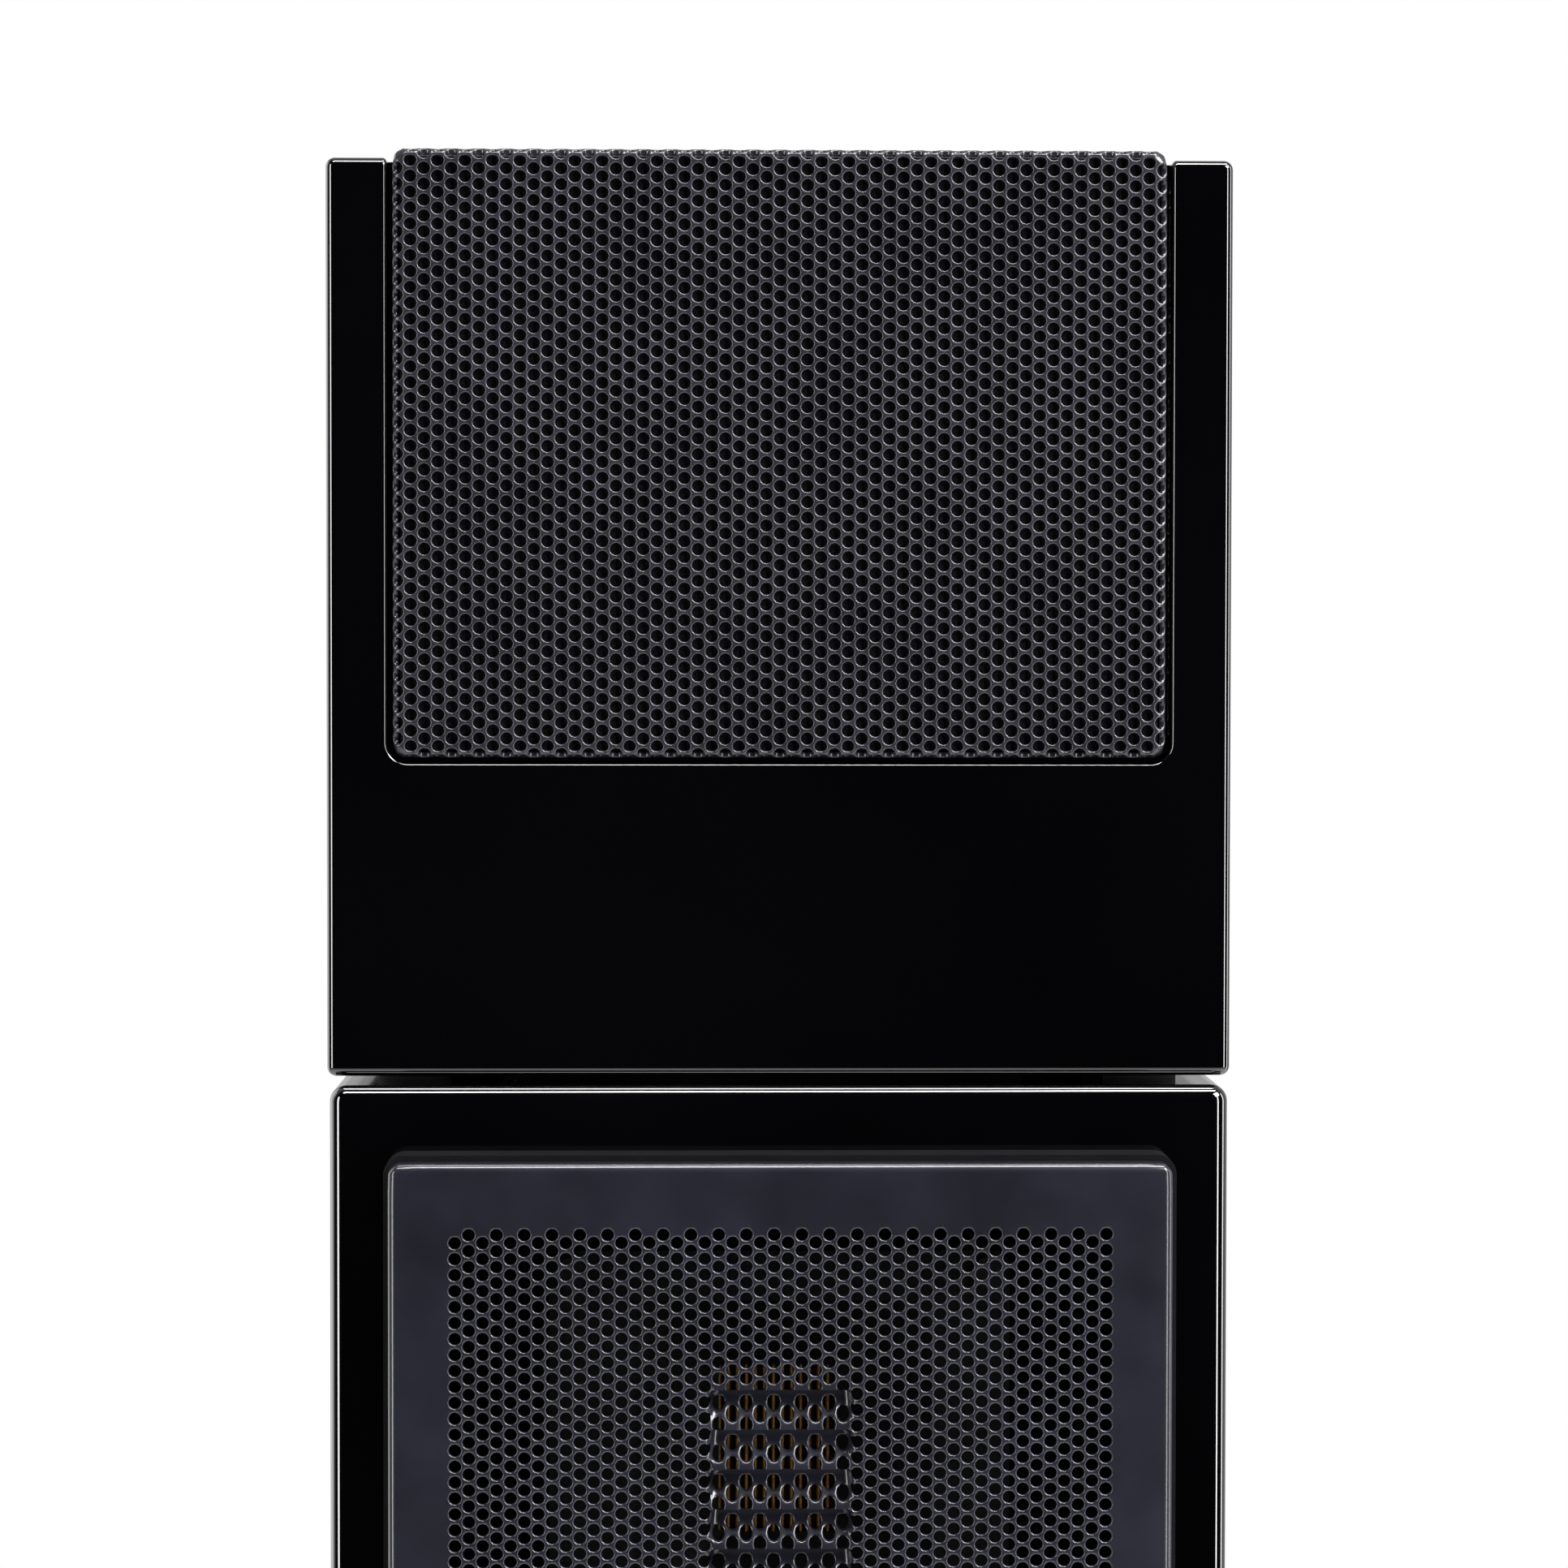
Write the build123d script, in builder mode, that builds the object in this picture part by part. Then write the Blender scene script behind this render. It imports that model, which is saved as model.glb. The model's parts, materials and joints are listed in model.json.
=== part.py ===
from build123d import *
import os
from math import cos, radians, sin

# Floorstanding speaker: a tower behind a pressed steel grille, and an upper module standing on its top.
# Millimetres. +Z is up, the front faces -Y, and the origin is on the floor under the middle of the whole.

# Tower cabinet
tower_width = 194.0
tower_depth = 300.0
tower_top = 1080.0
foot_height = 15.0
wall = 18.0
baffle_thick = 25.0
tower_edge = 3.5
glue_gap = 0.05

# Perforated sheet and the tower's grille
hole_pitch = 3.4
sheet = 1.2
grille_width = 167.0
grille_border = 15.1
grille_half_rows = 270
grille_height = 2 * grille_border + grille_half_rows * hole_pitch / 2
grille_below_top = 15.0
grille_corner = 3.0
pan_depth = 4.9
pan_roll = 2.0
frame_gap = 0.6
frame_depth = 9.0
frame_outset = 1.2
frame_rail = 8.0
grille_depth = frame_depth + frame_gap + pan_depth

# Louvres pressed into the sheet in front of the tweeter: a short step in, then a long curved ramp out
louvre_count = 6
louvre_pitch = 2.5 * hole_pitch
louvre_depth = 3.5
louvre_half_width = 15.0
louvre_start = 48.2
louvre_profile = ((0.21, 1.0), (0.42, 0.45), (0.66, 0.12))

# Binding posts: heights above the face that their plate stands on
plate_thick = 3.0
collar_thick = 4.0
washer_thick = 1.2
cap_length = 14.0
stud_proud = 1.3
stud_radius = 3.5
socket_radius = 2.0
socket_length = 18.0
cap_radius = 7.5
post_spacing = 19.0
collar_top = plate_thick + collar_thick
washer_top = collar_top + washer_thick
cap_top = washer_top + cap_length
post_reach = cap_top + stud_proud

# The whole assembly is centred on the origin from the grille's face to the ends of the posts.
front_y = grille_depth - (grille_depth + tower_depth + post_reach) / 2
rear_y = front_y + tower_depth
cabinet_mid_y = (front_y + rear_y) / 2
baffle_back_y = front_y + baffle_thick
cavity_rear_y = rear_y - wall
cavity_depth = cavity_rear_y - baffle_back_y
cavity_mid_y = (baffle_back_y + cavity_rear_y) / 2
cavity_width = tower_width - 2 * wall
floor_z = foot_height + wall

# Drivers: heights of their centres, and a woofer's own flange, from which its other sizes follow
tweeter_z = tower_top - 81.2
woofer_upper_z = tower_top - 221.0
woofer_lower_z = tower_top - 396.0
woofer_flange = 83.0
module_flange = 56.0
flange_thick = 4.0
screw_ring = 78.0
screw_radius = 1.85
screw_head_radius = 3.4
screw_head = 1.6
screw_length = 16.0

# Upper module: a box set back a little from the tower's front, with its grille in a recess open at the top
module_width = 195.5
module_height = 197.8
module_depth = 262.0
module_stand = 1.8
module_setback = 4.0
module_wall = 12.0
module_edge = 2.0
recess_width = 169.4
recess_bottom = 67.65
recess_depth = 10.0
recess_corner = 4.5
recess_edge = 0.8
module_grille_gap = 1.2
module_grille_rise = 2.0
module_grille_proud = 0.5
module_grille_bottom = recess_bottom + module_grille_gap
module_grille_height = module_height + module_grille_rise - module_grille_bottom
foam_thick = 2.5

# Services
port_z = 300.0
port_bore = 30.0
port_wall = 3.0
port_length = 120.0
port_flange = 44.0
tower_posts_z = 110.0
cable_radius = 2.0

tower_front = Plane(origin=(0, front_y, 0), x_dir=(1, 0, 0), z_dir=(0, -1, 0))
tower_rear = Plane(origin=(0, rear_y, 0), x_dir=(-1, 0, 0), z_dir=(0, 1, 0))
module_base_z = tower_top + module_stand
module_front_y = front_y + module_setback
module_face = Plane(origin=(0, module_front_y, module_base_z), x_dir=(1, 0, 0), z_dir=(0, -1, 0))
module_rear_y = module_front_y + module_depth
module_rear = Plane(origin=(0, module_rear_y, 0), x_dir=(-1, 0, 0), z_dir=(0, 1, 0))


def moved_on(plane, across, up, out=0.0):
    """The plane with its origin moved across, up and out along its own axes."""
    return Plane(origin=plane.from_local_coords((across, up, out)), x_dir=plane.x_dir, z_dir=plane.z_dir)


tweeter_seat = moved_on(tower_front, 0, tweeter_z)
woofer_upper_seat = moved_on(tower_front, 0, woofer_upper_z)
woofer_lower_seat = moved_on(tower_front, 0, woofer_lower_z)
recess_middle = (recess_bottom + module_height) / 2
module_seat = moved_on(module_face, 0, recess_middle, -recess_depth)
woofer_seats = {"woofer_upper": woofer_upper_seat, "woofer_lower": woofer_lower_seat}


def save(builder, name):
    """Label a finished piece and write it as its own STEP file."""
    builder.part.label = name
    export_step(builder.part, f"parts/{name}.step")


def turned(seat, outline, mode=Mode.ADD):
    """Revolve an outline of (radius, height) points about the seat's outward axis."""
    across = seat.x_dir
    section = Plane(origin=seat.origin, x_dir=across, z_dir=across.cross(seat.z_dir))
    with BuildSketch(section) as profile:
        with BuildLine():
            Polyline(*outline, close=True)
        make_face()
    revolve(profile.sketch, axis=Axis(seat.origin, seat.z_dir), mode=mode)


def slab(plane, width, height, low, high, corner=0.0, mode=Mode.ADD):
    """A plate standing from low to high off a plane, centred on the plane's origin."""
    with BuildSketch(plane.offset(low)) as outline:
        if corner > 0:
            RectangleRounded(width, height, corner)
        else:
            Rectangle(width, height)
    extrude(outline.sketch, amount=high - low, mode=mode)


def rods(plane, places, radius, low, high, mode=Mode.ADD):
    """Round rods or holes from low to high off a plane, one at each place."""
    with BuildSketch(plane.offset(low)) as discs:
        with Locations(*places):
            Circle(radius)
    extrude(discs.sketch, amount=high - low, mode=mode)


def ring_places(radius, count, start=0.0):
    """Places evenly spaced on a circle, the first at the start angle."""
    turn = 360.0 / count
    angles = [radians(start + turn * k) for k in range(count)]
    return [(radius * cos(a), radius * sin(a)) for a in angles]


def corner_places(width, height):
    """The four corners of a rectangle."""
    return [(i * width / 2, j * height / 2) for i in (-1, 1) for j in (-1, 1)]


def screw_places(flange):
    """Where a round driver's flange is screwed down."""
    return ring_places(screw_ring * flange / woofer_flange, 6, start=30.0)


def add_screws(plane, places, head_seat, length=screw_length):
    """Pan-head screws whose heads sit at a height above a plane."""
    rods(plane, places, screw_radius, head_seat - length, head_seat)
    rods(plane, places, screw_head_radius, head_seat, head_seat + screw_head)


def cut_screw_holes(plane, places, low, high):
    """Holes that the screws fit with a little room."""
    rods(plane, places, screw_radius + glue_gap, low, high, mode=Mode.SUBTRACT)


os.makedirs("parts", exist_ok=True)

# --- Tower cabinet ---------------------------------------------------------------------------------

tweeter_plate = (100.0, 92.0)
tweeter_body = (84.0, 78.0)
tweeter_screws = corner_places(tweeter_plate[0] - 10, tweeter_plate[1] - 10)
foot_places = [(i * 70.0, cabinet_mid_y + j * 118.0) for i in (-1, 1) for j in (-1, 1)]
terminal_plate_size = (92.0, 72.0)
terminal_hole_size = (70.0, 50.0)
terminal_screws = corner_places(terminal_plate_size[0] - 12, terminal_plate_size[1] - 12)
tower_posts_seat = moved_on(tower_rear, 0, tower_posts_z)
port_seat = moved_on(tower_rear, 0, port_z)
magnet_radius = 5.0
magnet_thick = 4.0
grille_centre_z = tower_top - grille_below_top - grille_height / 2
grille_seat = moved_on(tower_front, 0, grille_centre_z)
magnet_across = grille_width / 2 + frame_outset - frame_rail / 2 - 1.0
between_woofers_z = (woofer_upper_z + woofer_lower_z) / 2
magnet_ups = (22.0 - grille_height / 2, between_woofers_z - grille_centre_z, grille_height / 2 - 22.0)
magnet_places = [(side * magnet_across, up) for side in (-1, 1) for up in magnet_ups]


def add_cabinet_block():
    """The tower's outer block, with every edge above its base rounded."""
    with BuildSketch(Plane.XY.offset(foot_height)) as footprint:
        with Locations((0, cabinet_mid_y)):
            RectangleRounded(tower_width, tower_depth, tower_edge)
    extrude(footprint.sketch, amount=tower_top - foot_height)
    fillet(faces().sort_by(Axis.Z)[-1].edges(), radius=tower_edge)


with BuildPart() as cabinet_shell:
    add_cabinet_block()
    split(bisect_by=Plane.XZ.offset(-baffle_back_y), keep=Keep.BOTTOM)
    with BuildSketch(Plane.XY.offset(floor_z)):
        with Locations((0, cavity_mid_y)):
            Rectangle(cavity_width, cavity_depth)
    extrude(amount=tower_top - wall - floor_z, mode=Mode.SUBTRACT)
    rods(port_seat, [(0, 0)], port_bore + port_wall + glue_gap, -wall, 0, mode=Mode.SUBTRACT)
    slab(tower_posts_seat, *terminal_hole_size, -wall, 0, corner=6.0, mode=Mode.SUBTRACT)
    cut_screw_holes(tower_posts_seat, terminal_screws, -wall, 0)
    cut_screw_holes(Plane.XY, foot_places, foot_height, foot_height + wall)
save(cabinet_shell, "cabinet_shell")

with BuildPart() as front_baffle:
    add_cabinet_block()
    split(bisect_by=Plane.XZ.offset(-baffle_back_y), keep=Keep.TOP)
    slab(tweeter_seat, *tweeter_plate, -flange_thick, 0, corner=4.0, mode=Mode.SUBTRACT)
    slab(tweeter_seat, tweeter_body[0] + 2, tweeter_body[1] + 2, -baffle_thick, 0, mode=Mode.SUBTRACT)
    cut_screw_holes(tweeter_seat, tweeter_screws, -baffle_thick, 0)
    for seat in woofer_seats.values():
        rods(seat, [(0, 0)], woofer_flange + 0.3, -flange_thick, 0, mode=Mode.SUBTRACT)
        rods(seat, [(0, 0)], woofer_flange - 9, -baffle_thick, 0, mode=Mode.SUBTRACT)
        cut_screw_holes(seat, screw_places(woofer_flange), -baffle_thick, 0)
    rods(grille_seat, magnet_places, magnet_radius + glue_gap, -magnet_thick, 0, mode=Mode.SUBTRACT)
save(front_baffle, "front_baffle")

brace_thick = 15.0
brace_heights = (250.0, 480.0, between_woofers_z)
with BuildPart() as cabinet_braces:
    for height in brace_heights:
        level = Plane(origin=(0, cavity_mid_y, height))
        slab(level, cavity_width, cavity_depth, -brace_thick / 2, brace_thick / 2)
        slab(level, 112, 190, -brace_thick / 2, brace_thick / 2, corner=30.0, mode=Mode.SUBTRACT)
save(cabinet_braces, "cabinet_braces")

with BuildPart() as port_tube:
    outer = port_bore + port_wall
    turned(
        port_seat,
        [
            (port_bore, -port_length),
            (outer, -port_length),
            (outer, 0),
            (port_flange, 0),
            (port_flange, 2.0),
            (port_bore + 8, 3.0),
            (port_bore + 3, 1.5),
            (port_bore + 0.8, -4.0),
            (port_bore, -10.0),
        ],
    )
save(port_tube, "port_tube")

wadding_thick = 25.0
with BuildPart() as tower_wadding:
    for low, high in ((500.0, 755.0), (790.0, 1050.0)):
        pad = Plane(origin=(0, cavity_rear_y, (low + high) / 2), x_dir=(1, 0, 0), z_dir=(0, -1, 0))
        slab(pad, cavity_width - 8, high - low, 0, wadding_thick, corner=10.0)
save(tower_wadding, "tower_wadding")

foot_radius = 17.0
foot_web = 8.0
with BuildPart() as tower_feet:
    with BuildSketch():
        with Locations(*foot_places):
            Circle(foot_radius)
    extrude(amount=foot_height, taper=-6)
    rods(Plane.XY, foot_places, screw_radius + glue_gap, 0, foot_height, mode=Mode.SUBTRACT)
    rods(Plane.XY, foot_places, 5.0, 0, foot_height - foot_web, mode=Mode.SUBTRACT)
save(tower_feet, "tower_feet")

foot_screw_seat = foot_height - foot_web
with BuildPart() as foot_screws:
    rods(Plane.XY, foot_places, screw_radius, foot_screw_seat, foot_height + wall - 2)
    rods(Plane.XY, foot_places, screw_head_radius, foot_screw_seat - screw_head, foot_screw_seat)
save(foot_screws, "foot_screws")

with BuildPart() as baffle_magnets:
    rods(grille_seat, magnet_places, magnet_radius, -magnet_thick, 0)
save(baffle_magnets, "baffle_magnets")

# --- Tweeter: a pleated film in a slotted magnet, behind a flared faceplate -------------------------

film_width = 26.0
film_height = 37.0
throat_depth = 15.0
pocket_depth = 18.0
with BuildPart() as tweeter_faceplate:
    slab(tweeter_seat, tweeter_plate[0] - 0.6, tweeter_plate[1] - 0.6, -flange_thick, 0, corner=3.7)
    slab(tweeter_seat, *tweeter_body, -pocket_depth, -flange_thick)
    with BuildSketch(tweeter_seat):
        RectangleRounded(66, 70, 8)
    with BuildSketch(tweeter_seat.offset(-throat_depth)):
        RectangleRounded(film_width, film_height, 1)
    loft(mode=Mode.SUBTRACT)
    slab(tweeter_seat, film_width + 3, film_height + 3, -pocket_depth, -throat_depth, mode=Mode.SUBTRACT)
    cut_screw_holes(tweeter_seat, tweeter_screws, -flange_thick, 0)
save(tweeter_faceplate, "tweeter_faceplate")

pleat_count = 13
pleat_pitch = film_width / pleat_count
pleat_depth = 2.0
film_thick = 0.4
with BuildPart() as tweeter_diaphragm:
    crest = -throat_depth - 0.5
    front_edge = [
        (-film_width / 2 + k * pleat_pitch / 2, crest - pleat_depth * (k % 2))
        for k in range(2 * pleat_count + 1)
    ]
    back_edge = [(x, y - film_thick) for x, y in reversed(front_edge)]
    foot_of_film = moved_on(tweeter_seat, 0, -film_height / 2)
    film_plane = Plane(origin=foot_of_film.origin, x_dir=(1, 0, 0), z_dir=(0, 0, -1))
    with BuildSketch(film_plane):
        with BuildLine():
            Polyline(*front_edge, *back_edge, close=True)
        make_face()
    extrude(amount=-film_height)
save(tweeter_diaphragm, "tweeter_diaphragm")

tweeter_motor_back = 36.0
tweeter_motor_size = (80.0, 74.0)
slot_width = 2.4
slot_spacing = 5.0
with BuildPart() as tweeter_motor:
    slab(tweeter_seat, *tweeter_motor_size, -tweeter_motor_back, -pocket_depth, corner=2.0)
    slots = [(k * slot_spacing, 0) for k in range(-2, 3)]
    with BuildSketch(tweeter_seat.offset(-tweeter_motor_back)):
        with Locations(*slots):
            Rectangle(slot_width, film_height)
    extrude(amount=tweeter_motor_back - pocket_depth, mode=Mode.SUBTRACT)
save(tweeter_motor, "tweeter_motor")

cup_back = 60.0
cup_wall = 3.0
cup_size = (72.0, 66.0)
cup_hollow = (cup_size[0] - 2 * cup_wall, cup_size[1] - 2 * cup_wall)
with BuildPart() as tweeter_cup:
    slab(tweeter_seat, *cup_size, -cup_back, -tweeter_motor_back, corner=8.0)
    slab(tweeter_seat, *cup_hollow, cup_wall - cup_back, -tweeter_motor_back, corner=5.0, mode=Mode.SUBTRACT)
save(tweeter_cup, "tweeter_cup")


# --- Round drivers ---------------------------------------------------------------------------------


def scaled(outline, size):
    """An outline drawn for a woofer, at another driver's size."""
    return [(radius * size, height * size) for radius, height in outline]


def make_basket(name, seat, size):
    """Cast frame: flange, open legs, spider ledge and the plate that carries the motor."""
    outline = [
        (68, 0), (83, 0), (83, -4), (73, -4), (72, -12), (57, -51), (50, -54), (21, -54),
        (21, -51), (38, -51), (38, -34), (41, -34), (41, -50), (53, -50), (67, -14), (68, -6),
    ]
    with BuildPart() as basket:
        turned(seat, scaled(outline, size))
        with BuildSketch(seat.offset(-47 * size)):
            with PolarLocations(61 * size, 6):
                RectangleRounded(34 * size, 40 * size, 4 * size)
        extrude(amount=36 * size, mode=Mode.SUBTRACT)
        cut_screw_holes(seat, screw_places(woofer_flange * size), -flange_thick, 0)
    save(basket, f"{name}_basket")


def make_motor(name, seat, size):
    """Plates, magnet ring and vented pole, which leave the gap that the coil moves in."""
    outline = [
        (5, -80), (43, -80), (43, -74), (46, -74), (46, -59), (44, -58), (44, -54), (20.6, -54),
        (20.6, -59), (26, -59), (26, -74), (17.4, -74), (17.4, -52), (5, -52),
    ]
    with BuildPart() as motor:
        turned(seat, scaled(outline, size))
    save(motor, f"{name}_motor")


def make_cone(name, seat, size):
    """Cone with its dust cap."""
    outline = [
        (0, -12.5), (8, -13), (16, -15), (23.3, -19.0), (51, -0.2), (56, -0.2), (56, -1.4),
        (51.5, -1.4), (20.5, -24.6), (19.1, -24.6), (19.1, -22.9), (20.6, -22.2), (14.5, -16.5), (7, -14.4),
        (0, -13.9),
    ]
    with BuildPart() as cone:
        turned(seat, scaled(outline, size))
    save(cone, f"{name}_cone")


def make_voice_coil(name, seat, size):
    """Former with its winding."""
    outline = [
        (18.4, -23), (19.0, -23), (19.0, -50), (19.8, -50), (19.8, -62), (18.4, -62),
    ]
    with BuildPart() as voice_coil:
        turned(seat, scaled(outline, size))
    save(voice_coil, f"{name}_voice_coil")


def make_surround(name, seat, size):
    """Half-roll rubber edge between the flange and the cone."""
    across = seat.x_dir
    section = Plane(origin=seat.origin, x_dir=across, z_dir=across.cross(seat.z_dir))
    roll_middle = 62 * size
    roll = 6 * size
    skin = 1 * size
    with BuildPart() as surround:
        with BuildSketch(section):
            with Locations((roll_middle, 0)):
                Circle(roll)
                Circle(roll - skin, mode=Mode.SUBTRACT)
            with Locations((roll_middle, -roll)):
                Rectangle(3 * roll, 2 * roll, mode=Mode.SUBTRACT)
            with Locations((70 * size, skin / 2), (54 * size, skin / 2)):
                Rectangle(5 * size, skin)
        revolve(axis=Axis(seat.origin, seat.z_dir))
    save(surround, f"{name}_surround")


def make_spider(name, seat, size):
    """Corrugated cloth disc that centres the coil."""
    inner, outer, waves, swing, cloth = 19.1, 40.9, 5, 1.0, 0.5
    step = (outer - inner) / (2 * waves)
    level = -34 + swing + cloth
    crests = [(inner, level)]
    for k in range(1, 2 * waves):
        crests.append((inner + step * k, level + swing * (-1) ** k))
    crests.append((outer, level))
    under = [(radius, height - cloth) for radius, height in reversed(crests)]
    with BuildPart() as spider:
        turned(seat, scaled([*crests, *under], size))
    save(spider, f"{name}_spider")


def make_driver(name, seat, flange):
    """All the pieces of one round driver."""
    size = flange / woofer_flange
    make_basket(name, seat, size)
    make_motor(name, seat, size)
    make_cone(name, seat, size)
    make_voice_coil(name, seat, size)
    make_surround(name, seat, size)
    make_spider(name, seat, size)


for name, seat in woofer_seats.items():
    make_driver(name, seat, woofer_flange)
make_driver("module_driver", module_seat, module_flange)

with BuildPart() as driver_screws:
    for seat in woofer_seats.values():
        add_screws(seat, screw_places(woofer_flange), 0)
    add_screws(tweeter_seat, tweeter_screws, 0)
save(driver_screws, "driver_screws")

# --- Crossover and wiring --------------------------------------------------------------------------

board_z = floor_z + 6.0
board_top = board_z + 1.6
board_mid_y = cavity_mid_y + 10
board = Plane(origin=(0, board_mid_y, 0))
board_posts = corner_places(130, 130)
with BuildPart() as crossover_board:
    slab(board, 140, 140, board_z, board_top, corner=3.0)
    rods(board, board_posts, 3.0, floor_z, board_z)
save(crossover_board, "crossover_board")

with BuildPart() as crossover_coils:
    for place in ((-40.0, -35.0), (40.0, 35.0)):
        rods(board, [place], 24.0, board_top, board_top + 20)
        rods(board, [place], 10.0, board_top, board_top + 20, mode=Mode.SUBTRACT)
save(crossover_coils, "crossover_coils")

capacitor_radius = 10.0
with BuildPart() as crossover_capacitors:
    for across in (-52.0, -30.0, -8.0):
        end = Plane(
            origin=(across, board_mid_y + 15, board_top + capacitor_radius),
            x_dir=(1, 0, 0),
            z_dir=(0, 1, 0),
        )
        rods(end, [(0, 0)], capacitor_radius, 0, 42)
save(crossover_capacitors, "crossover_capacitors")

with BuildPart() as crossover_resistors:
    with BuildSketch(board.offset(board_top)):
        with Locations((12, -50), (28, -50), (44, -50)):
            Rectangle(9, 28)
    extrude(amount=9)
save(crossover_resistors, "crossover_resistors")


def add_cable(route, bend):
    """A round cable along straight runs joined by tangent arcs."""
    with BuildLine():
        line = FilletPolyline(*route, radius=bend)
    with BuildSketch(Plane(origin=line @ 0, z_dir=line % 0)) as end:
        Circle(cable_radius)
    sweep(end.sketch, path=line)


cable_y = 0.0
motor_back_y = front_y + 80.0
with BuildPart() as internal_wiring:
    for across, height, end_y in (
        (50.0, woofer_upper_z, motor_back_y - 10),
        (-50.0, woofer_lower_z, motor_back_y - 10),
        (25.0, tweeter_z, front_y + cup_back),
    ):
        add_cable(
            [(across, cable_y, board_top), (across, cable_y, height), (across, end_y, height)],
            bend=20.0,
        )
    for across in (-post_spacing / 2, post_spacing / 2):
        add_cable(
            [
                (across, rear_y - 10, tower_posts_z),
                (across, board_mid_y + 62, tower_posts_z),
                (across, board_mid_y + 62, board_top),
            ],
            bend=10.0,
        )
save(internal_wiring, "internal_wiring")


# --- Binding posts ---------------------------------------------------------------------------------


def post_places():
    """Where the two studs stand on their plate, seen from behind."""
    return [(-post_spacing / 2, 0), (post_spacing / 2, 0)]


def make_posts(prefix, seat):
    """Two fixed studs, each with its washer and its threaded cap."""
    stud = [
        (0, -10), (2.5, -10), (2.5, -3), (6, -3), (6, 0), (stud_radius, 0), (stud_radius, plate_thick),
        (7, plate_thick), (7, collar_top), (stud_radius, collar_top), (stud_radius, post_reach),
        (socket_radius, post_reach), (socket_radius, post_reach - socket_length),
        (0, post_reach - socket_length),
    ]
    with BuildPart() as posts:
        for across, up in post_places():
            turned(moved_on(seat, across, up), stud)
    save(posts, f"{prefix}_posts")

    bore = stud_radius + glue_gap
    for colour, (across, up) in zip(("red", "black"), post_places()):
        place = moved_on(seat, across, up)
        with BuildPart() as washer:
            rods(place, [(0, 0)], 6.0, collar_top, washer_top)
            rods(place, [(0, 0)], bore, collar_top, washer_top, mode=Mode.SUBTRACT)
        save(washer, f"{prefix}_washer_{colour}")

        with BuildPart() as cap:
            turned(
                place,
                [
                    (bore, washer_top), (cap_radius - 1, washer_top), (cap_radius, washer_top + 1),
                    (cap_radius, cap_top - 2), (cap_radius - 1.5, cap_top), (bore, cap_top),
                ],
            )
            rods(
                place, ring_places(cap_radius + 0.6, 16), 1.1, washer_top + 2.5, cap_top, mode=Mode.SUBTRACT
            )
        save(cap, f"{prefix}_cap_{colour}")


make_posts("tower", tower_posts_seat)

with BuildPart() as tower_terminal_plate:
    slab(tower_posts_seat, *terminal_plate_size, 0, plate_thick, corner=6.0)
    rods(tower_posts_seat, post_places(), stud_radius + glue_gap, 0, plate_thick, mode=Mode.SUBTRACT)
    cut_screw_holes(tower_posts_seat, terminal_screws, 0, plate_thick)
save(tower_terminal_plate, "tower_terminal_plate")

with BuildPart() as tower_terminal_screws:
    add_screws(tower_posts_seat, terminal_screws, plate_thick)
save(tower_terminal_screws, "tower_terminal_screws")

# --- Tower grille ----------------------------------------------------------------------------------

sheet_under = grille_depth - sheet
louvre_field = louvre_count * louvre_pitch
louvre_top_z = tower_top - grille_below_top - louvre_start


def louvre_line(front):
    """Side view of the pressed louvres, as (y, z) points down the sheet's face."""
    points = [(front, louvre_top_z)]
    for k in range(louvre_count):
        top = louvre_top_z - k * louvre_pitch
        for down, sunk in louvre_profile:
            points.append((front + sunk * louvre_depth, top - down * louvre_pitch))
        points.append((front, top - louvre_pitch))
    return points


with BuildPart() as tower_grille:
    slab(grille_seat, grille_width, grille_height, frame_depth + frame_gap, grille_depth, corner=grille_corner)
    fillet(faces().sort_by(Axis.Y)[0].edges(), radius=pan_roll)
    pan_inside = (grille_width - 2 * sheet, grille_height - 2 * sheet)
    slab(grille_seat, *pan_inside, frame_depth, sheet_under, corner=grille_corner - sheet, mode=Mode.SUBTRACT)
    louvre_seat = moved_on(tower_front, 0, louvre_top_z - louvre_field / 2)
    window = (2 * louvre_half_width, louvre_field)
    slab(louvre_seat, *window, sheet_under, grille_depth, mode=Mode.SUBTRACT)
    face_line = louvre_line(front_y - grille_depth)
    back_line = louvre_line(front_y - sheet_under)
    with BuildSketch(Plane.YZ.offset(-louvre_half_width)):
        with BuildLine():
            Polyline(*face_line, *reversed(back_line), close=True)
        make_face()
    extrude(amount=2 * louvre_half_width)
save(tower_grille, "tower_grille")

with BuildPart() as tower_grille_frame:
    frame_size = (grille_width + 2 * frame_outset, grille_height + 2 * frame_outset)
    spigot = (pan_inside[0] - 0.2, pan_inside[1] - 0.2)
    opening = (frame_size[0] - 2 * frame_rail, frame_size[1] - 2 * frame_rail)
    slab(grille_seat, *frame_size, 0, frame_depth, corner=grille_corner + frame_outset)
    slab(grille_seat, *spigot, frame_depth, sheet_under, corner=grille_corner - sheet - 0.1)
    slab(grille_seat, *opening, 0, sheet_under, mode=Mode.SUBTRACT)
save(tower_grille_frame, "tower_grille_frame")

# --- Upper module ----------------------------------------------------------------------------------

module_mid_y = module_front_y + module_depth / 2
panel_thick = 12.0
panel_margin = 3.0
panel_size = (module_width - 2 * module_wall, module_height - 2 * (module_wall + panel_margin))
panel_z = module_base_z + module_height / 2
panel_seat = moved_on(module_rear, 0, panel_z)
panel_screws = corner_places(panel_size[0] - 14, panel_size[1] - 14)
panel_ledge = 8.0
cavity_front = module_front_y + recess_depth + 12.0
cavity_back = module_rear_y - panel_thick - panel_ledge
cavity_low = module_base_z + module_wall
cavity_high = module_base_z + module_height - module_wall

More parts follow.
